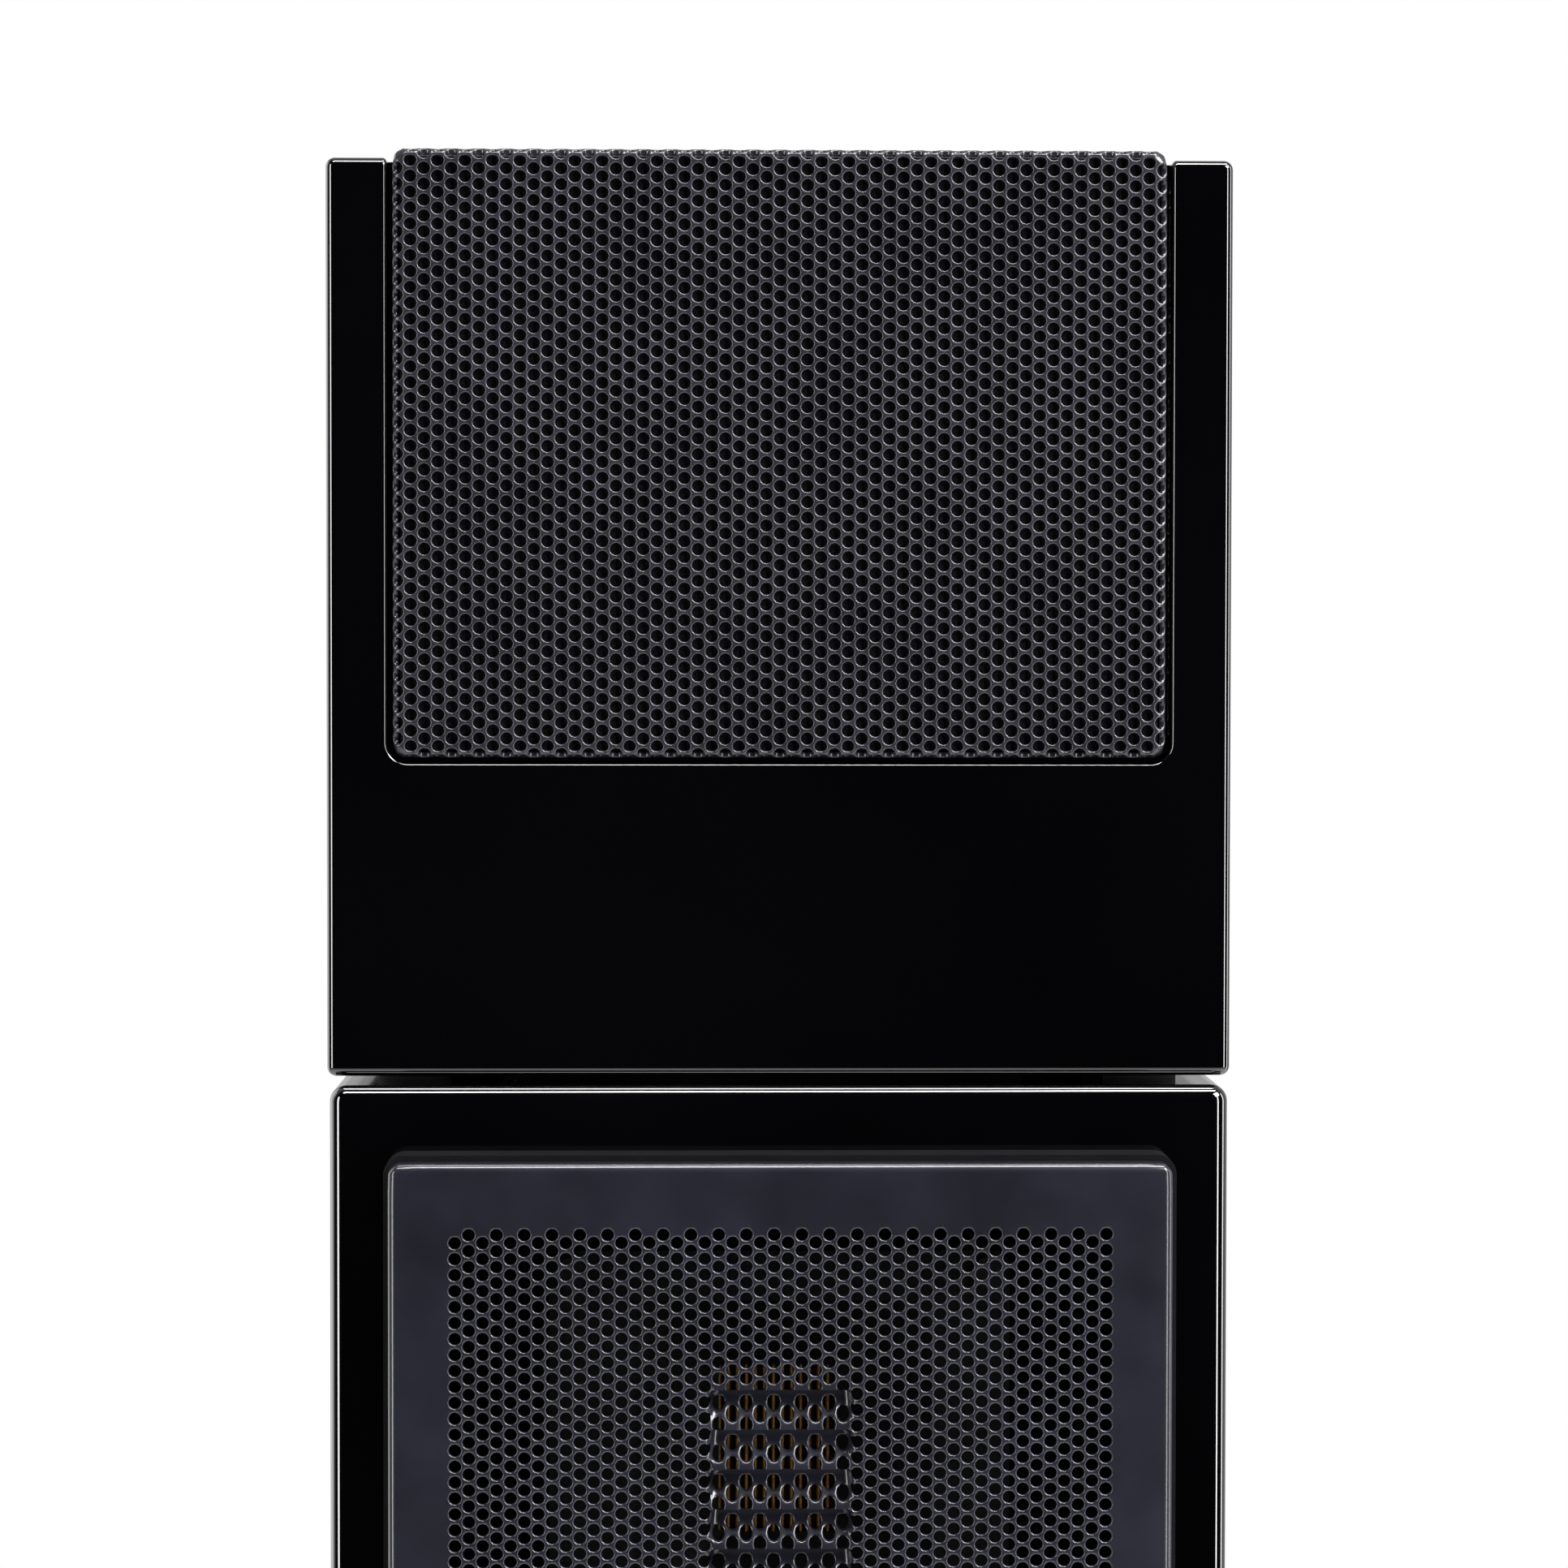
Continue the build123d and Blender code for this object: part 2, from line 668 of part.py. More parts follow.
with BuildPart() as module_shell:
    with BuildSketch(Plane.XY.offset(module_base_z)):
        with Locations((0, module_mid_y)):
            Rectangle(module_width, module_depth)
    extrude(amount=module_height)
    fillet(edges(), radius=module_edge)
    with BuildSketch(Plane.XY.offset(cavity_low)):
        with Locations((0, (cavity_front + cavity_back) / 2)):
            Rectangle(module_width - 2 * module_wall, cavity_back - cavity_front)
    extrude(amount=cavity_high - cavity_low, mode=Mode.SUBTRACT)
    slab(panel_seat, *panel_size, -panel_thick, 0, mode=Mode.SUBTRACT)
    slab(panel_seat, panel_size[0] - 28, panel_size[1] - 28, -panel_thick - 9, 0, mode=Mode.SUBTRACT)
    cut_screw_holes(panel_seat, panel_screws, -panel_thick - 7, 0)
    recess_height = module_height - recess_bottom
    with BuildSketch(module_face):
        with Locations((0, recess_bottom + recess_height)):
            RectangleRounded(recess_width, 2 * recess_height, recess_corner)
    extrude(amount=-recess_depth, mode=Mode.SUBTRACT)
    on_face = edges().filter_by(lambda edge: abs(edge.center().Y - module_front_y) < 0.01)
    recess_rim = on_face.filter_by(lambda edge: abs(edge.center().X) < recess_width / 2 + 0.01)
    recess_rim = recess_rim.filter_by(lambda edge: edge.center().Z > module_base_z + recess_bottom - 0.01)
    fillet(recess_rim, radius=recess_edge)
    driver_cut = module_flange / woofer_flange
    rods(module_seat, [(0, 0)], module_flange + 0.3, -flange_thick * driver_cut, 0, mode=Mode.SUBTRACT)
    rods(module_seat, [(0, 0)], 74 * driver_cut, -15, 0, mode=Mode.SUBTRACT)
    cut_screw_holes(module_seat, screw_places(module_flange), -11, 0)
    grille_middle = module_grille_bottom + module_grille_height / 2
    module_grille_seat = moved_on(module_face, 0, grille_middle)
    module_magnet_places = corner_places(grille_width - 22, module_grille_height - 22)
    rods(
        module_grille_seat,
        module_magnet_places,
        magnet_radius + glue_gap,
        -recess_depth - magnet_thick,
        -recess_depth,
        mode=Mode.SUBTRACT,
    )
save(module_shell, "module_shell")

with BuildPart() as module_rear_panel:
    slab(panel_seat, panel_size[0] - 0.4, panel_size[1] - 0.4, -panel_thick, 0)
    slab(panel_seat, post_spacing + 24, 26, -panel_thick, -plate_thick, corner=6.0, mode=Mode.SUBTRACT)
    rods(panel_seat, post_places(), stud_radius + glue_gap, -plate_thick, 0, mode=Mode.SUBTRACT)
    cut_screw_holes(panel_seat, panel_screws, -panel_thick, 0)
save(module_rear_panel, "module_rear_panel")

module_posts_seat = panel_seat.offset(-plate_thick)
make_posts("module", module_posts_seat)

with BuildPart() as module_panel_screws:
    add_screws(panel_seat, panel_screws, 0)
save(module_panel_screws, "module_panel_screws")

with BuildPart() as module_driver_screws:
    add_screws(module_seat, screw_places(module_flange), 0, length=10.0)
save(module_driver_screws, "module_driver_screws")

with BuildPart() as module_magnets:
    rods(module_grille_seat, module_magnet_places, magnet_radius, -recess_depth - magnet_thick, -recess_depth)
save(module_magnets, "module_magnets")

module_pan_low = 0.3 - recess_depth
module_sheet_under = module_grille_proud - sheet
module_pan_inside = (grille_width - 2 * sheet, module_grille_height - 2 * sheet)
with BuildPart() as module_grille:
    slab(
        module_grille_seat,
        grille_width,
        module_grille_height,
        module_pan_low,
        module_grille_proud,
        corner=grille_corner,
    )
    fillet(faces().sort_by(Axis((0, 0, 0), module_face.z_dir))[-1].edges(), radius=pan_roll)
    slab(
        module_grille_seat,
        *module_pan_inside,
        module_pan_low,
        module_sheet_under,
        corner=grille_corner - sheet,
        mode=Mode.SUBTRACT,
    )
save(module_grille, "module_grille")

with BuildPart() as module_foam:
    foam_top = module_sheet_under - 0.1
    slab(
        module_grille_seat,
        module_pan_inside[0] - 1,
        module_pan_inside[1] - 1,
        foam_top - foam_thick,
        foam_top,
        corner=2.0,
    )
save(module_foam, "module_foam")

module_foot_places = [
    (i * 80.0, module_mid_y + j * 112.0) for i in (-1, 1) for j in (-1, 1)
]
with BuildPart() as module_feet:
    rods(Plane.XY, module_foot_places, 8.0, tower_top, module_base_z)
save(module_feet, "module_feet")

with BuildPart() as module_wadding:
    with BuildSketch(Plane.XY.offset(cavity_low)):
        with Locations((0, module_rear_y - 90)):
            RectangleRounded(module_width - 2 * module_wall - 20, 110, 10)
    extrude(amount=25)
save(module_wadding, "module_wadding")

with BuildPart() as module_wiring:
    coil_tag_y = module_seat.from_local_coords((0, 0, -80 * driver_cut)).Y + 6
    coil_tag_z = module_seat.from_local_coords((0, 0, -80 * driver_cut)).Z
    for side in (-1, 1):
        across = side * post_spacing / 2
        add_cable(
            [
                (across, module_rear_y - plate_thick - 10, panel_z),
                (across, module_rear_y - 70, panel_z),
                (across, module_rear_y - 110, coil_tag_z + side * 2),
                (across, coil_tag_y, coil_tag_z + side * 2),
            ],
            bend=12.0,
        )
save(module_wiring, "module_wiring")
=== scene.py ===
import json
from math import cos, pi, radians, sin, sqrt, tau

import bmesh
import bpy
import numpy as np
from mathutils import Matrix, Vector
from mathutils.geometry import delaunay_2d_cdt


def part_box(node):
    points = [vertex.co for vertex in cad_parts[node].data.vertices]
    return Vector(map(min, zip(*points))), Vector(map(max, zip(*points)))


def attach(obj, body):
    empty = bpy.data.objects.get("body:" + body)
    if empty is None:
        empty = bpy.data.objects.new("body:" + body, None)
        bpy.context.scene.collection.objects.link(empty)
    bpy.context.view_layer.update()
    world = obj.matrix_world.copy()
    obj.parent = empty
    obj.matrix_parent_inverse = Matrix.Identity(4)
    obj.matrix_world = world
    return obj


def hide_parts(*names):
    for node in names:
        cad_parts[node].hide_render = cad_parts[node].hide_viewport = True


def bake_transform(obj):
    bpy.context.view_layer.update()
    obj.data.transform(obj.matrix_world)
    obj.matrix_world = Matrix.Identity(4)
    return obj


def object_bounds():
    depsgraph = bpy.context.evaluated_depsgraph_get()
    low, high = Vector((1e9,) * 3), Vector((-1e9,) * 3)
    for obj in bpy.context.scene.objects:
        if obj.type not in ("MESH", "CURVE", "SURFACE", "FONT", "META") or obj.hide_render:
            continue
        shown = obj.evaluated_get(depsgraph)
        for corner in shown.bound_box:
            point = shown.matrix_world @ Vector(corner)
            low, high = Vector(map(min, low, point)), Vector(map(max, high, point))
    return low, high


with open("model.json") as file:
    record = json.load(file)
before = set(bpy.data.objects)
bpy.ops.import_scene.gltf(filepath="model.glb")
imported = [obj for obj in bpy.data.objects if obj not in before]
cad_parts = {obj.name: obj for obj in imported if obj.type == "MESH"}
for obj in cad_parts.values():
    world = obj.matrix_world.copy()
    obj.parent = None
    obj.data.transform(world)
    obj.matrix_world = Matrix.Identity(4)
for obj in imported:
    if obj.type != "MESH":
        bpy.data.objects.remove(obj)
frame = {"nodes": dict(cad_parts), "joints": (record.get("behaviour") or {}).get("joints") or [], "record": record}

CAD_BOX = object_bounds()
MM = 0.001
MM_PER_METRE = 1000

RIGHT = Vector((1, 0, 0))
UP = Vector((0, 0, 1))


def joint(name):
    """The frame's joint of that name."""
    return next(j for j in frame["joints"] if j["name"] == name)


# --- Small tools for meshes and materials -------------------------------------------------------------


def mesh_object(name, points, faces, sharp=radians(50)):
    """A mesh piece from points and faces, smooth except across edges sharper than the angle given."""
    mesh = bpy.data.meshes.new(name)
    mesh.from_pydata([tuple(p) for p in points], [], [tuple(f) for f in faces])
    mesh.validate()
    mesh.shade_smooth()
    mesh.set_sharp_from_angle(angle=sharp)
    piece = bpy.data.objects.new(name, mesh)
    bpy.context.scene.collection.objects.link(piece)
    return piece


def turned(name, outline, origin, axis, segments=96, sharp=radians(40)):
    """A closed outline of (radius, height) points turned about an axis."""
    axis = Vector(axis).normalized()
    across = RIGHT if abs(axis.x) < 0.9 else UP
    other = axis.cross(across)
    points = []
    for k in range(segments):
        angle = tau * k / segments
        spoke = across * cos(angle) + other * sin(angle)
        points += [origin + spoke * radius + axis * height for radius, height in outline]
    count = len(outline)
    faces = []
    for k in range(segments):
        here = k * count
        there = (k + 1) % segments * count
        for i in range(count):
            j = (i + 1) % count
            faces.append((here + i, there + i, there + j, here + j))
    piece = mesh_object(name, points, faces, sharp)
    outward_normals(piece)
    return piece


def outward_normals(piece):
    """Turn every face to point outward."""
    work = bmesh.new()
    work.from_mesh(piece.data)
    bmesh.ops.recalc_face_normals(work, faces=work.faces)
    work.to_mesh(piece.data)
    work.free()


class Shader:
    """One node material: a Principled BSDF and short calls that feed it."""

    def __init__(self, name, color, roughness, **sockets):
        self.material = bpy.data.materials.new(name)
        self.material.use_nodes = True
        self.tree = self.material.node_tree
        self.bsdf = self.tree.nodes["Principled BSDF"]
        self.bsdf.inputs["Base Color"].default_value = (*color, 1)
        self.bsdf.inputs["Roughness"].default_value = roughness
        for socket, value in sockets.items():
            self.bsdf.inputs[socket.replace("_", " ")].default_value = value
        self.place = self.node("ShaderNodeTexCoord").outputs["Object"]
        self.bump_out = None

    def node(self, kind, **settings):
        """A new node with its properties set."""
        made = self.tree.nodes.new(kind)
        for key, value in settings.items():
            setattr(made, key, value)
        return made

    def link(self, source, target):
        """Feed a socket from another."""
        self.tree.links.new(source, target)

    def noise(self, scale, detail=3.0, roughness=0.5):
        """Noise at a scale in cycles per metre."""
        made = self.node("ShaderNodeTexNoise")
        made.inputs["Scale"].default_value = scale
        made.inputs["Detail"].default_value = detail
        made.inputs["Roughness"].default_value = roughness
        self.link(self.place, made.inputs["Vector"])
        return made.outputs["Fac"]

    def cells(self, scale, feature="F1"):
        """Voronoi cells at a scale in cycles per metre."""
        made = self.node("ShaderNodeTexVoronoi", feature=feature)
        made.inputs["Scale"].default_value = scale
        self.link(self.place, made.inputs["Vector"])
        return made.outputs["Distance"]

    def waves(self, scale, direction="X", distortion=0.0):
        """Parallel bands, about three in a metre for each unit of scale."""
        made = self.node("ShaderNodeTexWave", bands_direction=direction)
        made.inputs["Scale"].default_value = scale
        made.inputs["Distortion"].default_value = distortion
        self.link(self.place, made.inputs["Vector"])
        return made.outputs["Fac"]

    def ramp(self, factor, *stops):
        """A colour ramp of (position, colour) stops."""
        made = self.node("ShaderNodeValToRGB")
        elements = made.color_ramp.elements
        while len(elements) < len(stops):
            elements.new(0.5)
        for element, (position, color) in zip(elements, stops):
            element.position = position
            element.color = (*color, 1)
        self.link(factor, made.inputs["Fac"])
        return made.outputs["Color"]

    def color(self, source):
        """The base colour comes from a socket."""
        self.link(source, self.bsdf.inputs["Base Color"])

    def vary_roughness(self, factor, low, high):
        """Roughness runs from low to high as the factor goes from 0 to 1."""
        made = self.node("ShaderNodeMapRange")
        made.inputs["To Min"].default_value = low
        made.inputs["To Max"].default_value = high
        self.link(factor, made.inputs["Value"])
        self.link(made.outputs["Result"], self.bsdf.inputs["Roughness"])

    def bump(self, height, distance, strength=1.0):
        """Bump from a height, added to any bump that is there already."""
        made = self.node("ShaderNodeBump")
        made.inputs["Distance"].default_value = distance
        made.inputs["Strength"].default_value = strength
        self.link(height, made.inputs["Height"])
        if self.bump_out:
            self.link(self.bump_out, made.inputs["Normal"])
        self.bump_out = made.outputs["Normal"]
        self.link(self.bump_out, self.bsdf.inputs["Normal"])


# --- Materials ----------------------------------------------------------------------------------------


def mottled(shader, color, spread, scale):
    """A colour that drifts by a share of itself over a given scale."""
    dark = tuple(c * (1 - spread) for c in color)
    light = tuple(c * (1 + spread) for c in color)
    shader.color(shader.ramp(shader.noise(scale, detail=4), (0.3, dark), (0.7, light)))


def make_lacquer():
    """Black piano lacquer: a deep base under a clear coat, with faint wiping haze and dust."""
    color = (0.0006, 0.0006, 0.0009)
    shader = Shader("lacquer", color, 0.1, Coat_Weight=1.0, Coat_Roughness=0.015, Coat_IOR=1.5)
    mottled(shader, color, spread=0.3, scale=14)
    shader.vary_roughness(shader.noise(45, detail=5), low=0.04, high=0.12)
    shader.bump(shader.noise(160, detail=2), distance=0.01 * MM, strength=0.25)
    return shader.material


def make_powder_coat(name, color, roughness):
    """Satin powder coat on steel: fine grain, and a slight drift in colour and sheen."""
    shader = Shader(name, color, roughness, Specular_IOR_Level=0.12, Coat_Weight=1.0, Coat_Roughness=0.2)
    mottled(shader, color, spread=0.35, scale=55)
    sheen = shader.noise(120, detail=6, roughness=0.65)
    shader.vary_roughness(sheen, low=roughness - 0.12, high=roughness + 0.16)
    shader.bump(shader.noise(2600, detail=3, roughness=0.6), distance=0.03 * MM, strength=0.35)
    return shader.material


def make_moulded(name, color, roughness, grain=1800, shine=0.5):
    """Moulded plastic with a fine spark-eroded grain."""
    shader = Shader(name, color, roughness, Specular_IOR_Level=shine)
    mottled(shader, color, spread=0.15, scale=60)
    shader.vary_roughness(shader.noise(220, detail=3), low=roughness - 0.06, high=roughness + 0.08)
    shader.bump(shader.noise(grain, detail=2), distance=0.04 * MM, strength=0.3)
    return shader.material


def make_rubber():
    """Matt rubber with a dusty bloom."""
    shader = Shader("rubber", (0.012, 0.012, 0.012), 0.75)
    bloom = shader.noise(120, detail=5, roughness=0.6)
    shader.color(shader.ramp(bloom, (0.35, (0.009, 0.009, 0.009)), (0.8, (0.028, 0.028, 0.027))))
    shader.bump(shader.noise(1500, detail=3), distance=0.05 * MM, strength=0.4)
    return shader.material


def make_metal(name, color, roughness, brushed=0):
    """Bare or plated metal, with brush lines where asked."""
    shader = Shader(name, color, roughness, Metallic=1.0)
    mottled(shader, color, spread=0.08, scale=70)
    shader.vary_roughness(shader.noise(400, detail=4), low=roughness - 0.05, high=roughness + 0.1)
    if brushed:
        shader.bump(shader.waves(brushed, "Z", distortion=4.0), distance=0.01 * MM, strength=0.3)
    return shader.material


def make_board():
    """Raw fibreboard: short pale fibres in a brown ground."""
    color = (0.42, 0.29, 0.17)
    shader = Shader("board", color, 0.85)
    mottled(shader, color, spread=0.18, scale=500)
    shader.bump(shader.noise(900, detail=5, roughness=0.7), distance=0.1 * MM, strength=0.5)
    return shader.material


def make_wadding():
    """Polyester wadding: soft white fibres with sheen."""
    color = (0.74, 0.74, 0.71)
    shader = Shader("wadding", color, 0.95, Sheen_Weight=0.6, Sheen_Roughness=0.5)
    mottled(shader, color, spread=0.1, scale=160)
    shader.bump(shader.noise(420, detail=6, roughness=0.75), distance=1.2 * MM, strength=0.8)
    return shader.material


def make_foam():
    """Open-cell foam, nearly black, with pores of about two thirds of a millimetre, each painted darker towards
    its middle as painted shade in the pore.
    """
    shader = Shader("foam", (0.004, 0.004, 0.005), 0.95, Specular_IOR_Level=0.1)
    pores = shader.cells(1500)
    # Painted shade: the colour darkens towards each pore's middle, where the bump sinks the surface.
    shader.color(shader.ramp(pores, (0.1, (0.0012, 0.0012, 0.0016)), (0.6, (0.005, 0.005, 0.0065))))
    shader.bump(pores, distance=0.3 * MM, strength=0.8)
    return shader.material


def make_film():
    """Amber film with etched metal strips that run along each pleat."""
    shader = Shader("film", (0.05, 0.01, 0.002), 0.38, Coat_Weight=0.1, Coat_Roughness=0.2)
    bands = shader.waves(160)
    drift = shader.noise(700, detail=3)
    mix = shader.node("ShaderNodeMix", data_type="FLOAT")
    mix.inputs["Factor"].default_value = 0.35
    shader.link(bands, mix.inputs["A"])
    shader.link(drift, mix.inputs["B"])
    brown, amber, gold = (0.016, 0.003, 0.001), (0.055, 0.010, 0.002), (0.30, 0.15, 0.016)
    stops = ((0.3, brown), (0.6, amber), (0.88, gold))
    shader.color(shader.ramp(mix.outputs["Result"], *stops))
    return shader.material


def make_cone():
    """Black anodised cone with fine turning rings."""
    color = (0.03, 0.03, 0.033)
    shader = Shader("cone", color, 0.38, Metallic=0.7)
    mottled(shader, color, spread=0.12, scale=80)
    shader.bump(shader.noise(1400, detail=2), distance=0.02 * MM, strength=0.4)
    return shader.material


def make_copper():
    """Enamelled copper winding: fine parallel turns."""
    color = (0.62, 0.24, 0.09)
    shader = Shader("copper", color, 0.3, Metallic=0.9, Coat_Weight=0.5)
    mottled(shader, color, spread=0.12, scale=200)
    shader.bump(shader.waves(900, "Z", distortion=0.2), distance=0.2 * MM, strength=0.6)
    return shader.material


def make_spider_cloth():
    """Resin-stiffened cloth with an open weave."""
    color = (0.62, 0.42, 0.16)
    shader = Shader("spider_cloth", color, 0.8, Sheen_Weight=0.2)
    mottled(shader, color, spread=0.12, scale=300)
    shader.bump(shader.waves(1500, "X"), distance=0.1 * MM, strength=0.5)
    shader.bump(shader.waves(1500, "Z"), distance=0.1 * MM, strength=0.5)
    return shader.material


def make_circuit_board():
    """Green solder mask over faint copper runs."""
    shader = Shader("circuit_board", (0.01, 0.1, 0.04), 0.35, Coat_Weight=0.4)
    runs = shader.cells(110, "F2")
    shader.color(shader.ramp(runs, (0.45, (0.012, 0.13, 0.05)), (0.55, (0.006, 0.07, 0.028))))
    shader.bump(runs, distance=0.1 * MM, strength=0.3)
    return shader.material


def make_floor():
    """Pale studio floor, almost plain."""
    color = (0.86, 0.86, 0.86)
    shader = Shader("studio_floor", color, 0.6)
    mottled(shader, color, spread=0.01, scale=3)
    return shader.material


BY_SLOT = {
    "lacquer": make_lacquer(),
    "grille_steel": make_powder_coat("grille_steel", (0.0078, 0.0078, 0.0135), 0.42),
    "module_steel": make_powder_coat("module_steel", (0.0125, 0.0116, 0.0168), 0.42),
    "frame_plastic": make_moulded("frame_plastic", (0.004, 0.004, 0.005), 0.5, shine=0.12),
    "board": make_board(),
    "port_plastic": make_moulded("port_plastic", (0.01, 0.01, 0.01), 0.4),
    "wadding": make_wadding(),
    "foam": make_foam(),
    "rubber": make_rubber(),
    "screw_steel": make_metal("black_oxide", (0.035, 0.035, 0.037), 0.4),
    "magnet": make_metal("nickel", (0.66, 0.64, 0.6), 0.2),
    "faceplate": make_moulded("satin_black", (0.004, 0.004, 0.005), 0.6, shine=0.15),
    "film": make_film(),
    "motor_steel": make_metal("motor_steel", (0.52, 0.52, 0.53), 0.35, brushed=300),
    "basket": make_powder_coat("basket_coat", (0.016, 0.016, 0.017), 0.5),
    "cone": make_cone(),
    "coil": make_copper(),
    "spider": make_spider_cloth(),
    "circuit_board": make_circuit_board(),
    "film_capacitor": make_moulded("capacitor_resin", (0.42, 0.04, 0.025), 0.3),
    "ceramic": make_moulded("ceramic", (0.72, 0.71, 0.66), 0.7, grain=900),
    "cable": make_moulded("cable_jacket", (0.02, 0.02, 0.02), 0.42),
    "terminal_plastic": make_moulded("terminal_plastic", (0.012, 0.012, 0.012), 0.3),
    "gold": make_metal("gold_plate", (0.78, 0.52, 0.18), 0.18),
    "cap_red": make_moulded("cap_red", (0.45, 0.012, 0.012), 0.25),
    "cap_black": make_moulded("cap_black", (0.012, 0.012, 0.012), 0.25),
}


def finish_piece(piece, slot, node, body=None):
    """Give a new piece its slot and material, and let it stand for a CAD node and ride on a body."""
    piece.data.materials.append(BY_SLOT[slot])
    if body:
        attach(piece, body)
    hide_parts(node)


def paint_cad_nodes():
    """Every CAD node takes the material of its slot in the record."""
    for entry in frame["record"]["subparts"]:
        node = frame["nodes"][entry["node"]]
        node.data.materials.clear()
        node.data.materials.append(BY_SLOT[entry["material_slot"]])


# --- Camera, light and floor --------------------------------------------------------------------------

CAMERA_BACK = 892 * MM
CAMERA_LEFT = 19.6 * MM
CAMERA_ABOVE_TOWER = 92.4 * MM
CAMERA_YAW = radians(1.29)
CAMERA_PITCH = radians(-1.72)
CAMERA_ROLL = radians(-0.07)
CAMERA_LENS = 96.9
CAMERA_SENSOR = 36.0
CAMERA_REACH = 50

# Each soft box: its name, its place across, back and above the module's top, its size, and its watts.
# The key stands at the upper right in front. The others draw the edges.
SOFT_BOXES = (
    ("key", (1.5, -1.3, 1.5), (1.3, 1.0), 100),
    ("overhead", (0.1, -0.5, 1.3), (1.4, 0.2), 34),
    ("left_strip", (-1.5, 0.7, 0.0), (1.4, 2.2), 14),
    ("left_front", (-1.5, -1.1, 0.0), (0.4, 1.6), 22),
    ("right_strip", (1.6, -0.1, -0.2), (0.25, 2.2), 14),
    ("right_front", (1.3, -1.3, 0.0), (0.25, 1.8), 21),
)
AIM_IN_FRONT = 0.15
AIM_BELOW_TOP = 0.2

# What reflections see of the room: nearly black in front of the speaker, pale behind it
ROOM_IN_FRONT = 0.006
ROOM_BEHIND = 0.5
ROOM_TURNS_FROM = -0.2
ROOM_TURNS_TO = 0.3

FLOOR_RADIUS = 3.0
FLOOR_SIDES = 128


def place_camera():
    """Before the top of the tower, a little to the left, looking almost level."""
    data = bpy.data.cameras.new("camera")
    data.sensor_width = CAMERA_SENSOR
    data.lens = CAMERA_LENS
    data.clip_end = CAMERA_REACH
    camera = bpy.data.objects.new("camera", data)
    bpy.context.scene.collection.objects.link(camera)
    grille_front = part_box("tower_grille")[0][1]
    tower_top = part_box("cabinet_shell")[1][2]
    camera.location = (-CAMERA_LEFT, grille_front - CAMERA_BACK, tower_top + CAMERA_ABOVE_TOWER)
    aim = Matrix.Rotation(-CAMERA_YAW, 4, "Z") @ Matrix.Rotation(pi / 2 + CAMERA_PITCH, 4, "X")
    camera.rotation_mode = "QUATERNION"
    camera.rotation_quaternion = (aim @ Matrix.Rotation(-CAMERA_ROLL, 4, "Z")).to_quaternion()
    bpy.context.scene.camera = camera


def area_light(name, place, target, size, watts):
    """A soft box that faces a point and that the camera doesn't see."""
    data = bpy.data.lights.new(name, "AREA")
    data.shape = "RECTANGLE"
    data.size, data.size_y = size
    data.energy = watts
    light = bpy.data.objects.new(name, data)
    bpy.context.scene.collection.objects.link(light)
    light.location = place
    light.rotation_euler = (Vector(place) - Vector(target)).to_track_quat("Z", "Y").to_euler()
    light.visible_camera = False


def light_studio():
    """The soft boxes, all aimed at the part of the speaker that the camera sees."""
    top = CAD_BOX[1][2]
    aim = (0, -AIM_IN_FRONT, top - AIM_BELOW_TOP)
    for name, (across, back, above), size, watts in SOFT_BOXES:
        area_light(name, (across, back, top + above), aim, size, watts)
    bpy.context.scene.view_settings.view_transform = "Standard"


def surround_with_room():
    """White where it's seen straight on, and a room that is dark in front and pale behind in reflections."""
    world = bpy.data.worlds.new("studio")
    bpy.context.scene.world = world
    world.use_nodes = True
    tree = world.node_tree
    background = tree.nodes["Background"]
    background.inputs["Color"].default_value = (1, 1, 1, 1)
    place = tree.nodes.new("ShaderNodeTexCoord")
    split = tree.nodes.new("ShaderNodeSeparateXYZ")
    tree.links.new(place.outputs["Generated"], split.inputs["Vector"])
    room = tree.nodes.new("ShaderNodeMapRange")
    room.inputs["From Min"].default_value = ROOM_TURNS_FROM
    room.inputs["From Max"].default_value = ROOM_TURNS_TO
    room.inputs["To Min"].default_value = ROOM_IN_FRONT
    room.inputs["To Max"].default_value = ROOM_BEHIND
    tree.links.new(split.outputs["Y"], room.inputs["Value"])
    seen = tree.nodes.new("ShaderNodeLightPath")
    mix = tree.nodes.new("ShaderNodeMix")
    mix.data_type = "FLOAT"
    mix.inputs["B"].default_value = 1.0
    tree.links.new(seen.outputs["Is Camera Ray"], mix.inputs["Factor"])
    tree.links.new(room.outputs["Result"], mix.inputs["A"])
    tree.links.new(mix.outputs["Result"], background.inputs["Strength"])


def lay_floor():
    """A wide pale disc."""
    angles = [tau * k / FLOOR_SIDES for k in range(FLOOR_SIDES)]
    points = [(FLOOR_RADIUS * cos(angle), FLOOR_RADIUS * sin(angle), 0) for angle in angles]
    floor = mesh_object("studio_floor", points, [tuple(range(FLOOR_SIDES))])
    floor.data.materials.append(make_floor())


# --- Perforated and pressed steel ---------------------------------------------------------------------

# The lattice, whose columns run up the sheet, and the shape of one hole
PITCH = 3.4 * MM
COLUMN = PITCH * sqrt(3) / 2
HOLE = 1.30 * MM
RIM = 1.58 * MM
RIM_DROP = 0.22 * MM
SIDES = 12

# The sheet and its folded edges
SHEET = 1.2 * MM
CORNER = 3.0 * MM
ROLL = 2.0 * MM
BEND_STEPS = 6
WALL_STEPS = 2

# The fields of holes
TOWER_COLUMNS = 48
TOWER_BORDER = 15.1 * MM
MODULE_COLUMNS = 57
MODULE_ROWS = 44
ROUND_THE_BEND = 3
TOP_ROW_ANGLE = radians(30)
EDGE_WEB = 0.3 * MM

